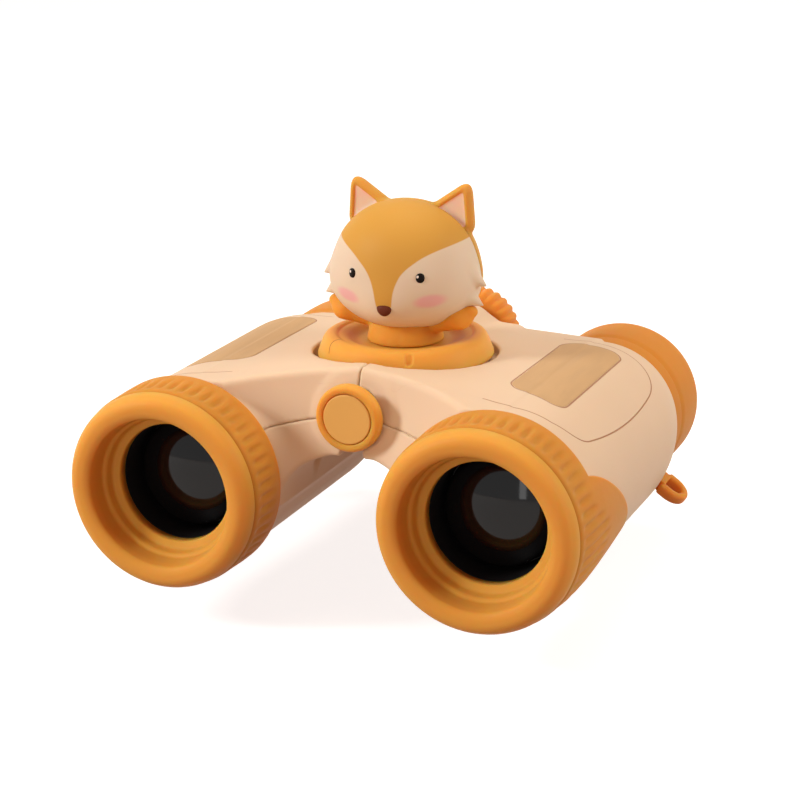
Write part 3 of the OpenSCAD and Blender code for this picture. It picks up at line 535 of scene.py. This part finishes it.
def half(p):
    """The right half before its seam: its skin, less all that is cut from it."""
    x, y, z = p
    r = rod_y(x, z, SPACING, 0, 0)
    d = skin(p)
    # Away from the middle, with the V notch below the hinge
    below = np.maximum(0, HINGE_Z - z)
    d = trim(d, (MIDDLE_GAP + below * NOTCH_SLOPE - x) * np.where(below > 0, NOTCH_LEAN, 1.0), 0.3)
    # Well of the turntable, deeper at its wall, and room for the post
    flat = np.sqrt(x * x + (y - DIAL_Y) ** 2)
    d = trim(d, -np.maximum(flat - WELL_R, np.where(flat > TRENCH_R, TRENCH_FLOOR, WELL_FLOOR) - z), 0.25)
    d = np.maximum(d, -np.maximum(flat - POST_ROOM_R, HINGE_Z - z))
    # Room round the hinge and the cap
    d = np.maximum(d, -rod_y(x, z, 0, HINGE_Z, HINGE_ROOM_R))
    d = trim(d, -np.maximum(rod_y(x, z, 0, HINGE_Z, CAP_ROOM_R), y - CAP_ROOM_END), 0.4)
    # Bores, and the slot of the focus arm
    d = np.maximum(d, -np.maximum(r - BORE_R, y - BORE_END))
    d = np.maximum(d, -np.maximum(r - EYE_BORE_R, y - EYE_BORE_END))
    d = np.maximum(d, SIGHT_R - r)
    slot = np.maximum(x - ARM_SLOT_X, np.abs(y - ARM_SLOT_Y) - ARM_SLOT_LONG)
    d = np.maximum(d, -np.maximum(slot, np.abs(z - HINGE_Z) - ARM_SLOT_HIGH))
    # Round recesses of the screws
    for at in SCREW_Y:
        hole = np.maximum(np.sqrt((x - SCREW_X) ** 2 + (y - at) ** 2) - SCREW_R, z - SCREW_Z)
        d = trim(d, -hole, 0.3)
    return d


def above_seam(p):
    """Distance above the seam between the two shells, a line with one bend: the larger of those above its parts."""
    return np.maximum(*(above_line(p[0], p[2], *ends) for ends in zip(SEAM, SEAM[1:])))


def upper_shell(p):
    """The half's form above the seam, its edge eased."""
    return trim(half(p), 0.02 - above_seam(p), 0.22)


def lower_shell(p):
    """The half's form below the seam, a hair lower, its edge eased."""
    return trim(half(p), above_seam(p) + 0.04, 0.22)


def panel_line(p):
    """Distance on the skin to the nearer of two grooves: the loop round the thumb pad, and the pad's own edge.

    The loop is the barrel unrolled, across by along: a wavy front, a lower edge that is a parabola in angle, and
    a wide round at the rear. Away from the top of the barrel both distances are moved far off.
    """
    x, y, z = columns_of(p)
    arc = np.radians(90 - np.degrees(np.arctan2(z, x - SPACING))) * BARREL_R
    across = np.where(x < SPACING, x, SPACING + arc)
    front_y = np.interp(across, [0, 12, 25, 31, 38, 44.2, 50], [21.2, 20.8, 19.6, 18.2, 17.8, 19.3, 21])
    along = y - 35.6
    low_turn = 34 - 0.2652 * along + 0.0176 * along ** 2
    low_arc = np.radians(90 - low_turn) * BARREL_R
    loop = trim(trim(front_y - y, arc - low_arc, 3.0), y - 63.8, 9.0)
    off = np.where((z < 4) | (x < 24), FAR, 0.0)
    loop = loop + np.where(loop > 0, off, -off)
    pad = pad_area(x, y, 0.0)
    off = np.where(z < 8, FAR, 0.0)
    pad = pad + np.where(pad > 0, off, -off)
    return np.where(np.abs(pad) < np.abs(loop), -pad, loop)


SHELL_CELL = 0.42
for name, form in (("upper_shell", upper_shell), ("lower_shell", lower_shell)):
    points, faces = surface_of(form, (-0.6, 7.2, -17.9), (48.0, 75.8, 20.6), SHELL_CELL)
    add_to_halves(name + "_skin", name, points, faces, cream, "cream_plastic", marks={"line": panel_line(points)})

# Knuckles of the hinge, in turn on the two halves: front end, rear end and radius of the hole
KNUCKLE_R = 4.3
for side, spans in (("left", ((18.6, 21.8, 1.3), (70.0, 73.4, 2.35))),
                    ("right", ((22.1, 25.3, 1.3), (66.3, 69.7, 2.35)))):
    for i, (y0, y1, hole) in enumerate(spans):
        rim = fillet([(hole, y0, 0.2), (KNUCKLE_R, y0, 0.3), (KNUCKLE_R, y1, 0.3), (hole, y1, 0.2)], 3)
        points, faces = lathe(rim, 0, HINGE_Z, 48)
        add_piece(side + "_knuckle_" + str(i + 1), points, faces, side + "_half", cream, "cream_plastic", merge=True)


# Thumb pads

PAD_PROUD, PAD_UNDER_R = 0.06, 16.3


def thumb_pad(p):
    """The pad's plate: a hair above the half's skin, inside its outline, down to a cylinder round the barrel axis."""
    x, y, z = p
    plate = np.maximum(skin(p) - PAD_PROUD, PAD_UNDER_R - rod_y(x, z, SPACING, 0, 0))
    return trim(trim(plate, pad_area(x, y, -0.06), 0.3), -z, 0.2)


points, faces = surface_of(thumb_pad, (24.5, 23.4, 14.0), (38.5, 61.8, 18.8), 0.26)
add_to_halves("thumb_pad_plate", "thumb_pad", points, faces, tan, "tan_plastic")


# Objective bezels, a soft lip with two steps inside

bezel = fillet([(11.1, 8.0, 0), (11.1, 6.1, 0.3), (12.5, 5.6, 0.4), (12.75, 4.0, 0.5), (13.4, 3.5, 0.4),
                (13.6, 1.2, 0.3), (13.85, -0.3, 0.45), (14.8, -0.85, 0.7), (16.2, -1.0, 1.0), (17.3, -0.5, 1.0),
                (18.1, 0.8, 0.9), (18.3, 2.1, 0.2), (17.3, 2.1, 0.1), (17.3, 7.9, 0.1), (14.9, 7.9, 0.1),
                (14.9, 10.5, 0.2), (12.2, 10.5, 0.2), (12.2, 8.0, 0)], 6)
points, faces = lathe(bezel, SPACING, 0, 192)
add_to_halves("objective_lip", "objective_bezel", points, faces, orange, "orange_plastic", merge=True)


# Grip sleeves: a fluted band with a palm lobe

FLUTES, FLUTE_POINTS, FLUTE_DEPTH = 54, 12, 0.42
BAND_FRONT, BAND_END, CREST_R, SLEEVE_BORE_R, EDGE_R = 2.2, 11.0, 18.5, 17.36, 17.42
LOBE_TURN, LOBE_UP, LOBE_DOWN, LOBE_FROM, LOBE_LONG = -65, 93, 52, 12.7, 27.5
THIN_Y = 14.2


def lobe_edge(turn):
    """Rear edge of the sleeve at an angle in degrees from the outer side, up positive: a rounded bump in angle."""
    away = (turn - LOBE_TURN + 180) % 360 - 180
    u = np.clip(np.where(away > 0, away / LOBE_UP, -away / LOBE_DOWN), 0, 1)
    return LOBE_FROM + LOBE_LONG * (1 - u ** 1.8) ** 0.8


def sleeve_mesh():
    """Grid of angle by way along: the crest's profile, less round flutes, with a rounded edge at the lobe's rim."""
    columns = FLUTES * FLUTE_POINTS
    a = angles(columns)
    end = lobe_edge((np.degrees(a) + 180) % 360 - 180)
    band = np.linspace(0, 1, 26)[:, None]
    tail = (1 - (1 - np.linspace(0, 1, 44)) ** 1.7)[1:, None]
    y = np.concatenate([BAND_FRONT + (BAND_END - BAND_FRONT) * band + 0 * a, BAND_END + (end - BAND_END) * tail])
    crest = CREST_R + (0.2 + 0.24 * ramp(13.5, 18, end)) * ramp(BAND_FRONT, 10.0, y)
    crest = crest - 1.55 * np.clip((y - THIN_Y) / 26, 0, 1) ** 1.25
    reach = 10.4 + 7.5 * ramp(20, 30, end)
    deep = ramp(3.0, 5.4, y) * (1 - ramp(reach - 4.0, reach, y))
    r = crest - FLUTE_DEPTH * deep * (0.5 + 0.5 * np.cos(a * FLUTES)) ** 1.6
    # Rounded front and rear edges
    f = np.clip((3.3 - y) / 1.1, 0, 1)
    r = r - 0.75 * (1 - np.sqrt(1 - 0.98 * f * f))
    width = np.minimum(1.6, (end - BAND_END) * 0.9)
    e = np.clip((y - (end - width)) / width, 0, 1)
    r = EDGE_R + (r - EDGE_R) * np.sqrt(np.clip(1 - 0.995 * e * e, 0, 1))
    # Back to the front along the bore
    y = np.concatenate([y, [y[-1], 0.5 * (y[-1] + BAND_FRONT), BAND_FRONT + 0 * a]])
    r = np.concatenate([r, np.full((3, columns), SLEEVE_BORE_R)])
    p = np.stack([SPACING + r * np.cos(a), y, r * np.sin(a)], -1)
    return p.reshape(-1, 3), ring_faces(len(y), columns)


points, faces = sleeve_mesh()
add_to_halves("grip", "grip_sleeve", points, faces, rubber, "orange_rubber", merge=True)


# Eyecups

cup = fillet([(10.2, 72.1, 0.1), (14.75, 72.1, 0.3), (14.95, 75.2, 0.35), (14.6, 75.6, 0.15), (14.65, 76.0, 0.15),
              (15.0, 77.2, 1.2), (15.15, 81.5, 3.0), (15.1, 86.2, 2.4), (14.2, 88.6, 1.4), (12.7, 89.0, 1.0),
              (11.2, 88.8, 0.7), (10.5, 87.8, 0.6), (9.2, 81.1, 0.3), (10.2, 81.0, 0.1)], 6)
points, faces = lathe(cup, SPACING, 0, 160)
add_to_halves("eyecup_form", "eyecup", points, faces, rubber, "orange_rubber", merge=True)


# Objective lenses, domed at the front: y falls back from the sphere's top by its radius less the root

DOME_R, DOME_TOP = 20, 9.8
radii = np.linspace(0, 9.7, 28)
sphere = np.stack([radii, DOME_TOP + DOME_R - np.sqrt(DOME_R ** 2 - radii * radii), 0 * radii], -1)
seat = [(10.2, 12.8, 0.3), (10.2, 18.2, 0.1), (10.95, 18.3, 0.1), (10.95, 20.2, 0.2), (0, 21.0, 0)]
points, faces = lathe(fillet(np.concatenate([sphere, seat]), 3), SPACING, 0, 128)
add_to_halves("objective_dome", "objective_lens", points, faces, glass, "lens_glass", merge=True)
ring = fillet([(11.0, 16.2, 0.2), (11.0, 18.0, 0.1), (10.4, 18.0, 0.1), (10.35, 17.2, 0.2), (10.6, 16.2, 0.15)], 4)
points, faces = lathe(ring, SPACING, 0, 128)
add_to_halves("lens_ring", "lens_retainer", points, faces, black, "black_plastic", merge=True)


# Strap lugs

LUG_TURN, LUG_Y, LUG_HALF, LUG_SLOT_HALF = math.radians(35), 65, 3.7, 1.8


def strap_lug(p):
    """A flat loop with a round end and a slot, on a tang that goes into the barrel; u points out from its axis."""
    c, s = math.cos(LUG_TURN), math.sin(LUG_TURN)
    u = (p[0] - SPACING) * c - p[2] * s
    w = (p[0] - SPACING) * s + p[2] * c
    v = p[1] - LUG_Y
    plate = np.where(u > 19.2, np.sqrt((u - 19.2) ** 2 + v * v), np.abs(v)) - LUG_HALF
    plate = np.maximum(plate, 17.5 - u)
    slot = np.where(u > 19.6, np.sqrt((u - 19.6) ** 2 + v * v) - LUG_SLOT_HALF,
                    np.maximum(np.abs(v) - LUG_SLOT_HALF, 18.0 - u))
    loop = trim(trim(plate, -slot, 0.7), np.abs(w) - 1.15, 0.9)
    tang = np.maximum(np.maximum(np.abs(v) - 2.3, np.abs(w) - 1.1), np.maximum(u - 18.0, 15.4 - u))
    return fuse(loop, tang, 0.4)


points, faces = surface_of(strap_lug, (40.0, 60.6, -15.6), (51.0, 69.4, -6.4), 0.22)
# The loop takes the darker copy of the orange plastic: painted shade
add_to_halves("strap_loop", "strap_lug", points, faces, shade_darkened_orange, "dark_orange_plastic")


# Hinge cap and focus wheel

cap = fillet([(4.72, 16.7, 0.1), (4.72, 15.95, 0.2), (5.2, 15.72, 0.4), (5.75, 15.75, 0.5), (6.2, 16.3, 0.5),
              (6.2, 18.0, 0.2), (1.4, 18.0, 0.1), (1.4, 16.75, 0.1)], 6)
points, faces = lathe(cap, 0, HINGE_Z, 96)
add_piece("hinge_cap_rim", points, faces, "hinge_core", orange, "orange_plastic", ["hinge_cap_ring"], merge=True)
disc = fillet([(0, 15.84, 0), (2.5, 15.84, 0), (4.0, 15.84, 0.3), (4.6, 15.86, 0.35), (4.6, 16.6, 0.1),
               (0, 16.62, 0)], 5)
points, faces = lathe(disc, 0, HINGE_Z, 96)
add_piece("hinge_cap_face", points, faces, "hinge_core", disc_orange, "orange_plastic", ["hinge_cap_disc"],
          merge=True)

RIBS, RIB_POINTS = 30, 12


def wheel_mesh():
    """Drum with rounded ends and round ribs: the radius swells by the cosine of the ribs times the angle."""
    columns = RIBS * RIB_POINTS
    a = angles(columns)
    side = fillet([(1.4, 76.25, 0.1), (7.6, 76.25, 0.9), (9.0, 77.2, 0.9), (9.3, 79.5, 1.5), (9.0, 81.9, 0.9),
                   (7.6, 82.75, 0.8), (6.4, 82.7, 0.5), (5.9, 82.2, 0.4), (4.4, 82.2, 0.2), (1.4, 82.2, 0.1)], 6)
    r, y = side[:, 0][:, None], side[:, 1][:, None]
    r = r + ramp(7.4, 8.9, r) * (0.45 * (0.5 + 0.5 * np.cos(RIBS * a)) ** 0.6 - 0.35)
    p = np.stack([r * np.cos(a), y + 0 * a, HINGE_Z + r * np.sin(a)], -1)
    return p.reshape(-1, 3), ring_faces(len(side), columns)


points, faces = wheel_mesh()
# The drum takes the darker copy of the orange plastic: painted shade
add_piece("focus_wheel_drum", points, faces, "focus_wheel", shade_darkened_orange, "dark_orange_plastic", ["focus_wheel"],
          merge=True)


# Turntable

DISH_R, DISH_TOP, DISH_UNDER, DISH_HOLE_R = 16.65, 21.7, 17.32, 3.05
HOLLOW_R, HOLLOW_FLOOR = 12.6, 20.2
# Way along the wall for each degree of turn
WALL_DEGREE = 0.29
MARK_TURN, MARK_CUT, MARK_Z, NOTCH_TURNS, NOTCH_Z = 24, 22.4, 20.4, (-26.0, -4.0), 17.9
CURVE_TURN, CURVE_TOP = -43, 22.3


def turntable(p):
    """Shallow bowl about the dial's axis, with a D-shaped mark and two small notches in its sloped wall."""
    x, y, z = p[0], p[1] - DIAL_Y, p[2]
    r = np.sqrt(x * x + y * y)
    wall = 0.93 * (r - DISH_R + 0.38 * np.maximum(0, z - 17.6))
    bowl = trim(trim(wall, z - DISH_TOP, 1.4), DISH_UNDER - z, 0.6)
    hollow = np.maximum(r - HOLLOW_R, HOLLOW_FLOOR + 1.25 * ramp(8.6, 12.2, r) - z)
    d = np.maximum(trim(bowl, -hollow, 0.8), DISH_HOLE_R - r)
    turn = np.degrees(np.arctan2(x, -y))
    mark = np.sqrt(((turn - MARK_TURN) * WALL_DEGREE) ** 2 + ((z - MARK_Z) / 1.1) ** 2) - 1.0
    mark = np.maximum(mark, -(turn - MARK_CUT) * WALL_DEGREE)
    d = trim(d, -np.maximum(mark, -(wall + 0.45)), 0.25)
    for at in NOTCH_TURNS:
        notch = np.maximum(np.abs(turn - at) * WALL_DEGREE - 1.1, np.abs(z - NOTCH_Z) - 0.35)
        d = trim(d, -np.maximum(notch, -(wall + 0.6)), 0.2)
    return d


def rim_curve(p):
    """Distance along the wall to the curved groove on the rim, a parabola in height; moved far off elsewhere."""
    x, y, z = columns_of(p)
    away = np.degrees(np.arctan2(x, DIAL_Y - y)) - CURVE_TURN
    curve = away * WALL_DEGREE - 0.10 * (CURVE_TOP - z) ** 2
    on_rim = (z > 19.4) & (np.hypot(x, y - DIAL_Y) > 12.8) & (np.abs(away) < 30)
    off = np.where(on_rim, 0.0, FAR)
    return curve + np.where(curve > 0, off, -off)


points, faces = surface_of(turntable, (-17.3, 26.2, 16.9), (17.3, 60.8, 22.9), 0.3)
add_piece("turntable_bowl", points, faces, "fox_turntable", orange, "orange_plastic", ["turntable_dish"],
          marks={"line": rim_curve(points)})


# Fox body

def fox_body(p):
    """Chest, a cone with eased ends; two raised arms, tapered rods made flatter; and the neck, hollow below."""
    x, y, z = np.abs(p[0]), p[1], p[2]
    r = np.sqrt(x * x + (y - DIAL_Y) ** 2)
    chest = trim(trim(r - (7.3 - 0.22 * (z - 20.3)), 20.32 - z, 0.5), z - 26.2, 0.8)
    arm_z = HINGE_Z + 11.6
    q = [x, y, arm_z + (z - arm_z) * 1.25]
    shoulder, elbow, hand = (6.4, 42.4, 23.6), (11.2, 41.9, 26.0), (13.4, 42.2, 27.6)
    arm = fuse(tapered_rod(q, shoulder, elbow, 1.7, 2.7), tapered_rod(q, elbow, hand, 2.5, 1.5), 1.0)
    neck = np.maximum(np.maximum(r - 3.4, z - 29.4), 24 - z)
    d = np.minimum(fuse(chest, arm, 0.35), neck)
    return np.maximum(d, -np.maximum(r - 4.6, z - 22.1))


points, faces = surface_of(fox_body, (-16.0, 35.4, 19.6), (16.0, 51.6, 30.2), 0.32)
add_piece("fox_chest_and_arms", points, faces, "fox_turntable", body_paint, "orange_plastic", ["fox_body"])


# Fox head in two shells, ears on the rear one

# Root, tip and root radius of the tufts
TUFTS = (((9.6, 42.6, 35.2), (16.2, 43.2, 31.8), 4.6), ((9.4, 42.2, 31.4), (15.7, 42.7, 28.2), 4.2))
EAR = ((2.6, 44.4), (11.9, 50.7), (12.7, 39.6))
EAR_Y, EAR_HALF, EAR_HOLLOW_Y = 47.15, 1.75, 46.0
FACE_END, BACK_START = 45.42, 45.5
# The painted face is this far off the middle
LOOK = 0.45
BLUSH_X, BLUSH_Z, BLUSH_LONG, BLUSH_HIGH = 8.0, 30.2, 2.55, 1.2
EYE_X, EYE_Z, EYE_TILT, GLINT_X, GLINT_Z, NOSE_Z = 6.6, 34.6, 28, -0.28, 34.9, 28.4


def head_form(p):
    """Broad round head, fuller at the cheeks, with a short muzzle and two pointed tufts on each side."""
    q = [np.abs(p[0]), p[1], p[2]]
    d = ellipsoid(q, (0.0, 44.5, 34.6), (13.9, 12.1, 12.0))
    d = fuse(d, ellipsoid(q, (0, 43.8, 31.4), (14.3, 10.6, 8.2)), 3.0)
    d = fuse(d, ellipsoid(q, (0, 37.6, 29.6), (4.6, 4.4, 3.6)), 3.6)
    for root, tip, wide in TUFTS:
        d = fuse(d, tapered_rod(q, root, tip, wide, 0.2), 0.6)
    return trim(d, 22.9 - p[2], 2.0)


def ear_outline(p, soft):
    """Distance in the plane of an ear to its three-cornered outline, with corners rounded by soft."""
    sides = [above_line(np.abs(p[0]), p[2], *ends) for ends in zip(EAR, EAR[1:] + EAR[:1])]
    return trim(trim(sides[0], sides[1], soft), sides[2], soft)


def ear(p):
    """Plate of an ear with a full round edge, and the shallow hollow in its front."""
    plate = trim(ear_outline(p, 2.6), np.abs(p[1] - EAR_Y) - EAR_HALF, 1.8)
    return trim(plate, -trim(ear_outline(p, 0.6) + 1.15, p[1] - EAR_HOLLOW_Y, 0.4), 0.4)


def face_shell(p):
    """The head in front of its seam."""
    return trim(head_form(p), p[1] - FACE_END, 0.3)


def back_shell(p):
    """The head behind its seam, run together with the ears."""
    return fuse(trim(head_form(p), BACK_START - p[1], 0.3), ear(p), 0.7)


def cheek_edge(z):
    """Half width of the orange forehead at a height, as straight runs averaged over 1.8 mm to ease the corners.

    It is narrow down the muzzle and spreads to the temples.
    """
    heights = [27.6, 28.2, 29.3, 32, 33.8, 35.6, 37.2, 38.6, 39.4, 40.2, 41.2, 43]
    widths = [-3, 1.3, 1.5, 1.9, 2.5, 3.5, 5.4, 7.3, 9.3, 11.6, 15, 22]
    return sum(np.interp(z + off, heights, widths) for off in np.linspace(-0.9, 0.9, 9)) / 9


def forehead_mask(x, z):
    """Distance to the forehead's edge: the way across to it, over the length of its slope."""
    slope = (cheek_edge(z + 0.15) - cheek_edge(z - 0.15)) / 0.3
    return (x - cheek_edge(z)) / np.sqrt(1 + slope ** 2)


def blush_mask(x, z):
    """Scaled length in a leaning ellipse on the cheek, less 1."""
    u, v = x - BLUSH_X, z - BLUSH_Z
    u, v = u * 0.985 + v * 0.17, v * 0.985 - u * 0.17
    return np.sqrt((u / BLUSH_LONG) ** 2 + (v / BLUSH_HIGH) ** 2) - 1


points, faces = surface_of(face_shell, (-17.4, 31.6, 22.2), (17.4, 46.4, 47.4), 0.3)
x, z = np.abs(points[:, 0] - LOOK), points[:, 2]
add_piece("fox_face_shell", points, faces, "fox_turntable", face_paint, "fox_cream_plastic", ["fox_face"],
          marks={"mask": forehead_mask(x, z), "blush": blush_mask(x, z)})
points, faces = surface_of(back_shell, (-17.4, 44.6, 22.2), (17.4, 57.4, 51.0), 0.3)
inner = np.where(points[:, 1] < 46.5, ear_outline(columns_of(points), 0.6) + 1.3, FAR)
add_piece("fox_head_shell", points, faces, "fox_turntable", head_paint, "orange_plastic", ["fox_head_back"],
          marks={"inner_ear": inner})


def face_depth(x, z):
    """Where the face's skin lies at a place, found by stepping back from the front by 0.8 of the distance left."""
    y = 30.0
    for _ in range(40):
        y += 0.8 * float(head_form([np.array([x]), np.array([y]), np.array([z])])[0])
    return y


def pebble(name, x, z, sink, size, material, taper=0.0, tilt=0.0):
    """Rounded drop on the face: a sphere drawn out to its three half sizes, narrower below where tapered."""
    rows, columns = 22, 40
    u = angles(columns)
    v = np.linspace(0, np.pi, rows)[:, None]
    d = np.stack([np.sin(v) * np.cos(u), np.cos(v) + 0 * u, np.sin(v) * np.sin(u)], -1)
    p = np.sign(d) * np.abs(d) ** 0.9 * np.array(size)
    p[..., 0] *= 1 + taper * p[..., 2] / size[2]
    c, s = math.cos(math.radians(tilt)), math.sin(math.radians(tilt))
    p[..., 0], p[..., 1] = p[..., 0] * c - p[..., 1] * s, p[..., 0] * s + p[..., 1] * c
    p = p.reshape(-1, 3) + np.array([x, face_depth(x, z) + sink, z])
    add_piece(name, p, ring_faces(rows, columns, False), "fox_turntable", material, "black_plastic", merge=True)


for side, s in (("left", -1), ("right", 1)):
    at = s * EYE_X + LOOK
    pebble(side + "_eye", at, EYE_Z, 0.12, (0.82, 0.42, 0.92), eye_black, tilt=s * EYE_TILT)
    pebble(side + "_eye_glint", at + GLINT_X, GLINT_Z, -0.26, (0.26, 0.12, 0.26), glint, tilt=s * EYE_TILT)
pebble("nose", LOOK, NOSE_Z, 0.25, (1.4, 0.95, 1.15), nose_brown, taper=0.28)


# Materials of the CAD pieces that keep their shape

kept_nodes = [(steel, ("hinge_axle", "turntable_screw", "focus_screw")), (cream, ("turntable_post",)),
              (black, ("focus_spool",)), (shade_darkened_orange, ("axle_nut",))]
for side in ("left_", "right_"):
    kept_nodes += [(steel, (side + "shell_screws",)),
                   (black, (side + "lens_tube", side + "eyepiece_tube", side + "focus_cell")),
                   (glass, (side + "eye_lens", side + "focus_lens"))]
for material, names in kept_nodes:
    for name in names:
        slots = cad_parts[name].data.materials
        slots.clear()
        slots.append(material)


# Stage, light and camera

# Low enough for the barrels at full fold, which swing 7.4 mm below their place at rest
FLOOR, FLOOR_HALF = -0.0076, 3
LIT_POINT = (0, 0, 0.03)


def set_in_place(obj, right, up, back, place):
    """Turns an object so that its x, y and z point right, up and back, and puts it at a place in metres."""
    obj.matrix_world = Matrix([[right[i], up[i], back[i], place[i]] for i in range(3)] + [[0, 0, 0, 1]])


def soft_box(name, place, size, power, colour=(1, 1, 1)):
    """Area lamp at a place in metres, turned to look at the part."""
    lamp = bpy.data.lights.new(name, "AREA")
    lamp.shape = "RECTANGLE"
    lamp.size, lamp.size_y = size
    lamp.energy = power
    lamp.color = colour
    obj = bpy.data.objects.new(name, lamp)
    bpy.context.scene.collection.objects.link(obj)
    back = np.array(place, float) - np.array(LIT_POINT, float)
    back /= np.linalg.norm(back)
    right = np.cross([0, 0, 1], back)
    right /= np.linalg.norm(right)
    set_in_place(obj, right, np.cross(back, right), back, place)
    return obj


floor_mesh = bpy.data.meshes.new("floor")
floor_mesh.from_pydata([(u * FLOOR_HALF, v * FLOOR_HALF, FLOOR) for u, v in ((-1, -1), (1, -1), (1, 1), (-1, 1))],
                       [], [(0, 1, 2, 3)])
floor = bpy.data.objects.new("floor", floor_mesh)
bpy.context.scene.collection.objects.link(floor)
pale = bpy.data.materials.new("pale_floor")
pale.use_nodes = True
pale_shader = pale.node_tree.nodes["Principled BSDF"]
pale_shader.inputs["Base Color"].default_value = (0.50, 0.50, 0.50, 1)
pale_shader.inputs["Roughness"].default_value = 0.9
pale_shader.inputs["Emission Color"].default_value = (1, 1, 1, 1)
pale_shader.inputs["Emission Strength"].default_value = 0.80
floor_mesh.materials.append(pale)
floor.visible_diffuse = False

# Seen straight or in a reflection the surroundings are white; as light they are dim and warm
scene = bpy.context.scene
world = bpy.data.worlds.new("studio")
world.use_nodes = True
nodes, links = world.node_tree.nodes, world.node_tree.links
warm, white = nodes["Background"], nodes.new("ShaderNodeBackground")
warm.inputs["Color"].default_value = (1.0, 0.50, 0.30, 1)
warm.inputs["Strength"].default_value = 0.27
white.inputs["Color"].default_value = (1.0, 1.0, 1.0, 1)
white.inputs["Strength"].default_value = 1.0
ray = nodes.new("ShaderNodeLightPath")
seen = ray.outputs["Is Camera Ray"]
for kind in ("Is Glossy Ray", "Is Transmission Ray"):
    either = nodes.new("ShaderNodeMath")
    either.operation = "MAXIMUM"
    links.new(seen, either.inputs[0])
    links.new(ray.outputs[kind], either.inputs[1])
    seen = either.outputs[0]
surroundings = nodes.new("ShaderNodeMixShader")
for i, source in enumerate((seen, warm.outputs[0], white.outputs[0])):
    links.new(source, surroundings.inputs[i])
links.new(surroundings.outputs[0], nodes["World Output"].inputs["Surface"])
scene.world = world

soft_box("low", (-0.25, -0.95, 0.08), (0.5, 0.12), 1.6, (1.0, 0.80, 0.58)).visible_glossy = False
soft_box("key", (-0.66, -0.52, 0.50), (0.18, 0.18), 5.7, (1.0, 0.98, 0.96))
soft_box("side", (0.75, 0.10, 0.40), (0.4, 0.5), 3.9, (1.0, 0.95, 0.88))
soft_box("strip", (0.20, -0.95, 0.30), (0.12, 0.55), 0.7)
soft_box("top", (-0.1, 0.15, 0.8), (0.6, 0.6), 3.2, (1.0, 0.88, 0.72))

lens = bpy.data.cameras.new("camera")
lens.lens = 97.73
lens.sensor_width = 36
lens.clip_start, lens.clip_end = 0.01, 20
camera = bpy.data.objects.new("camera", lens)
scene.collection.objects.link(camera)
set_in_place(camera, (0.92178, 0.38745, -0.01409), (-0.10154, 0.27633, 0.95568), (0.37417, -0.87950, 0.29406),
             (0.152651, -0.362516, 0.147870))
scene.camera = camera
scene.view_settings.view_transform = "Standard"
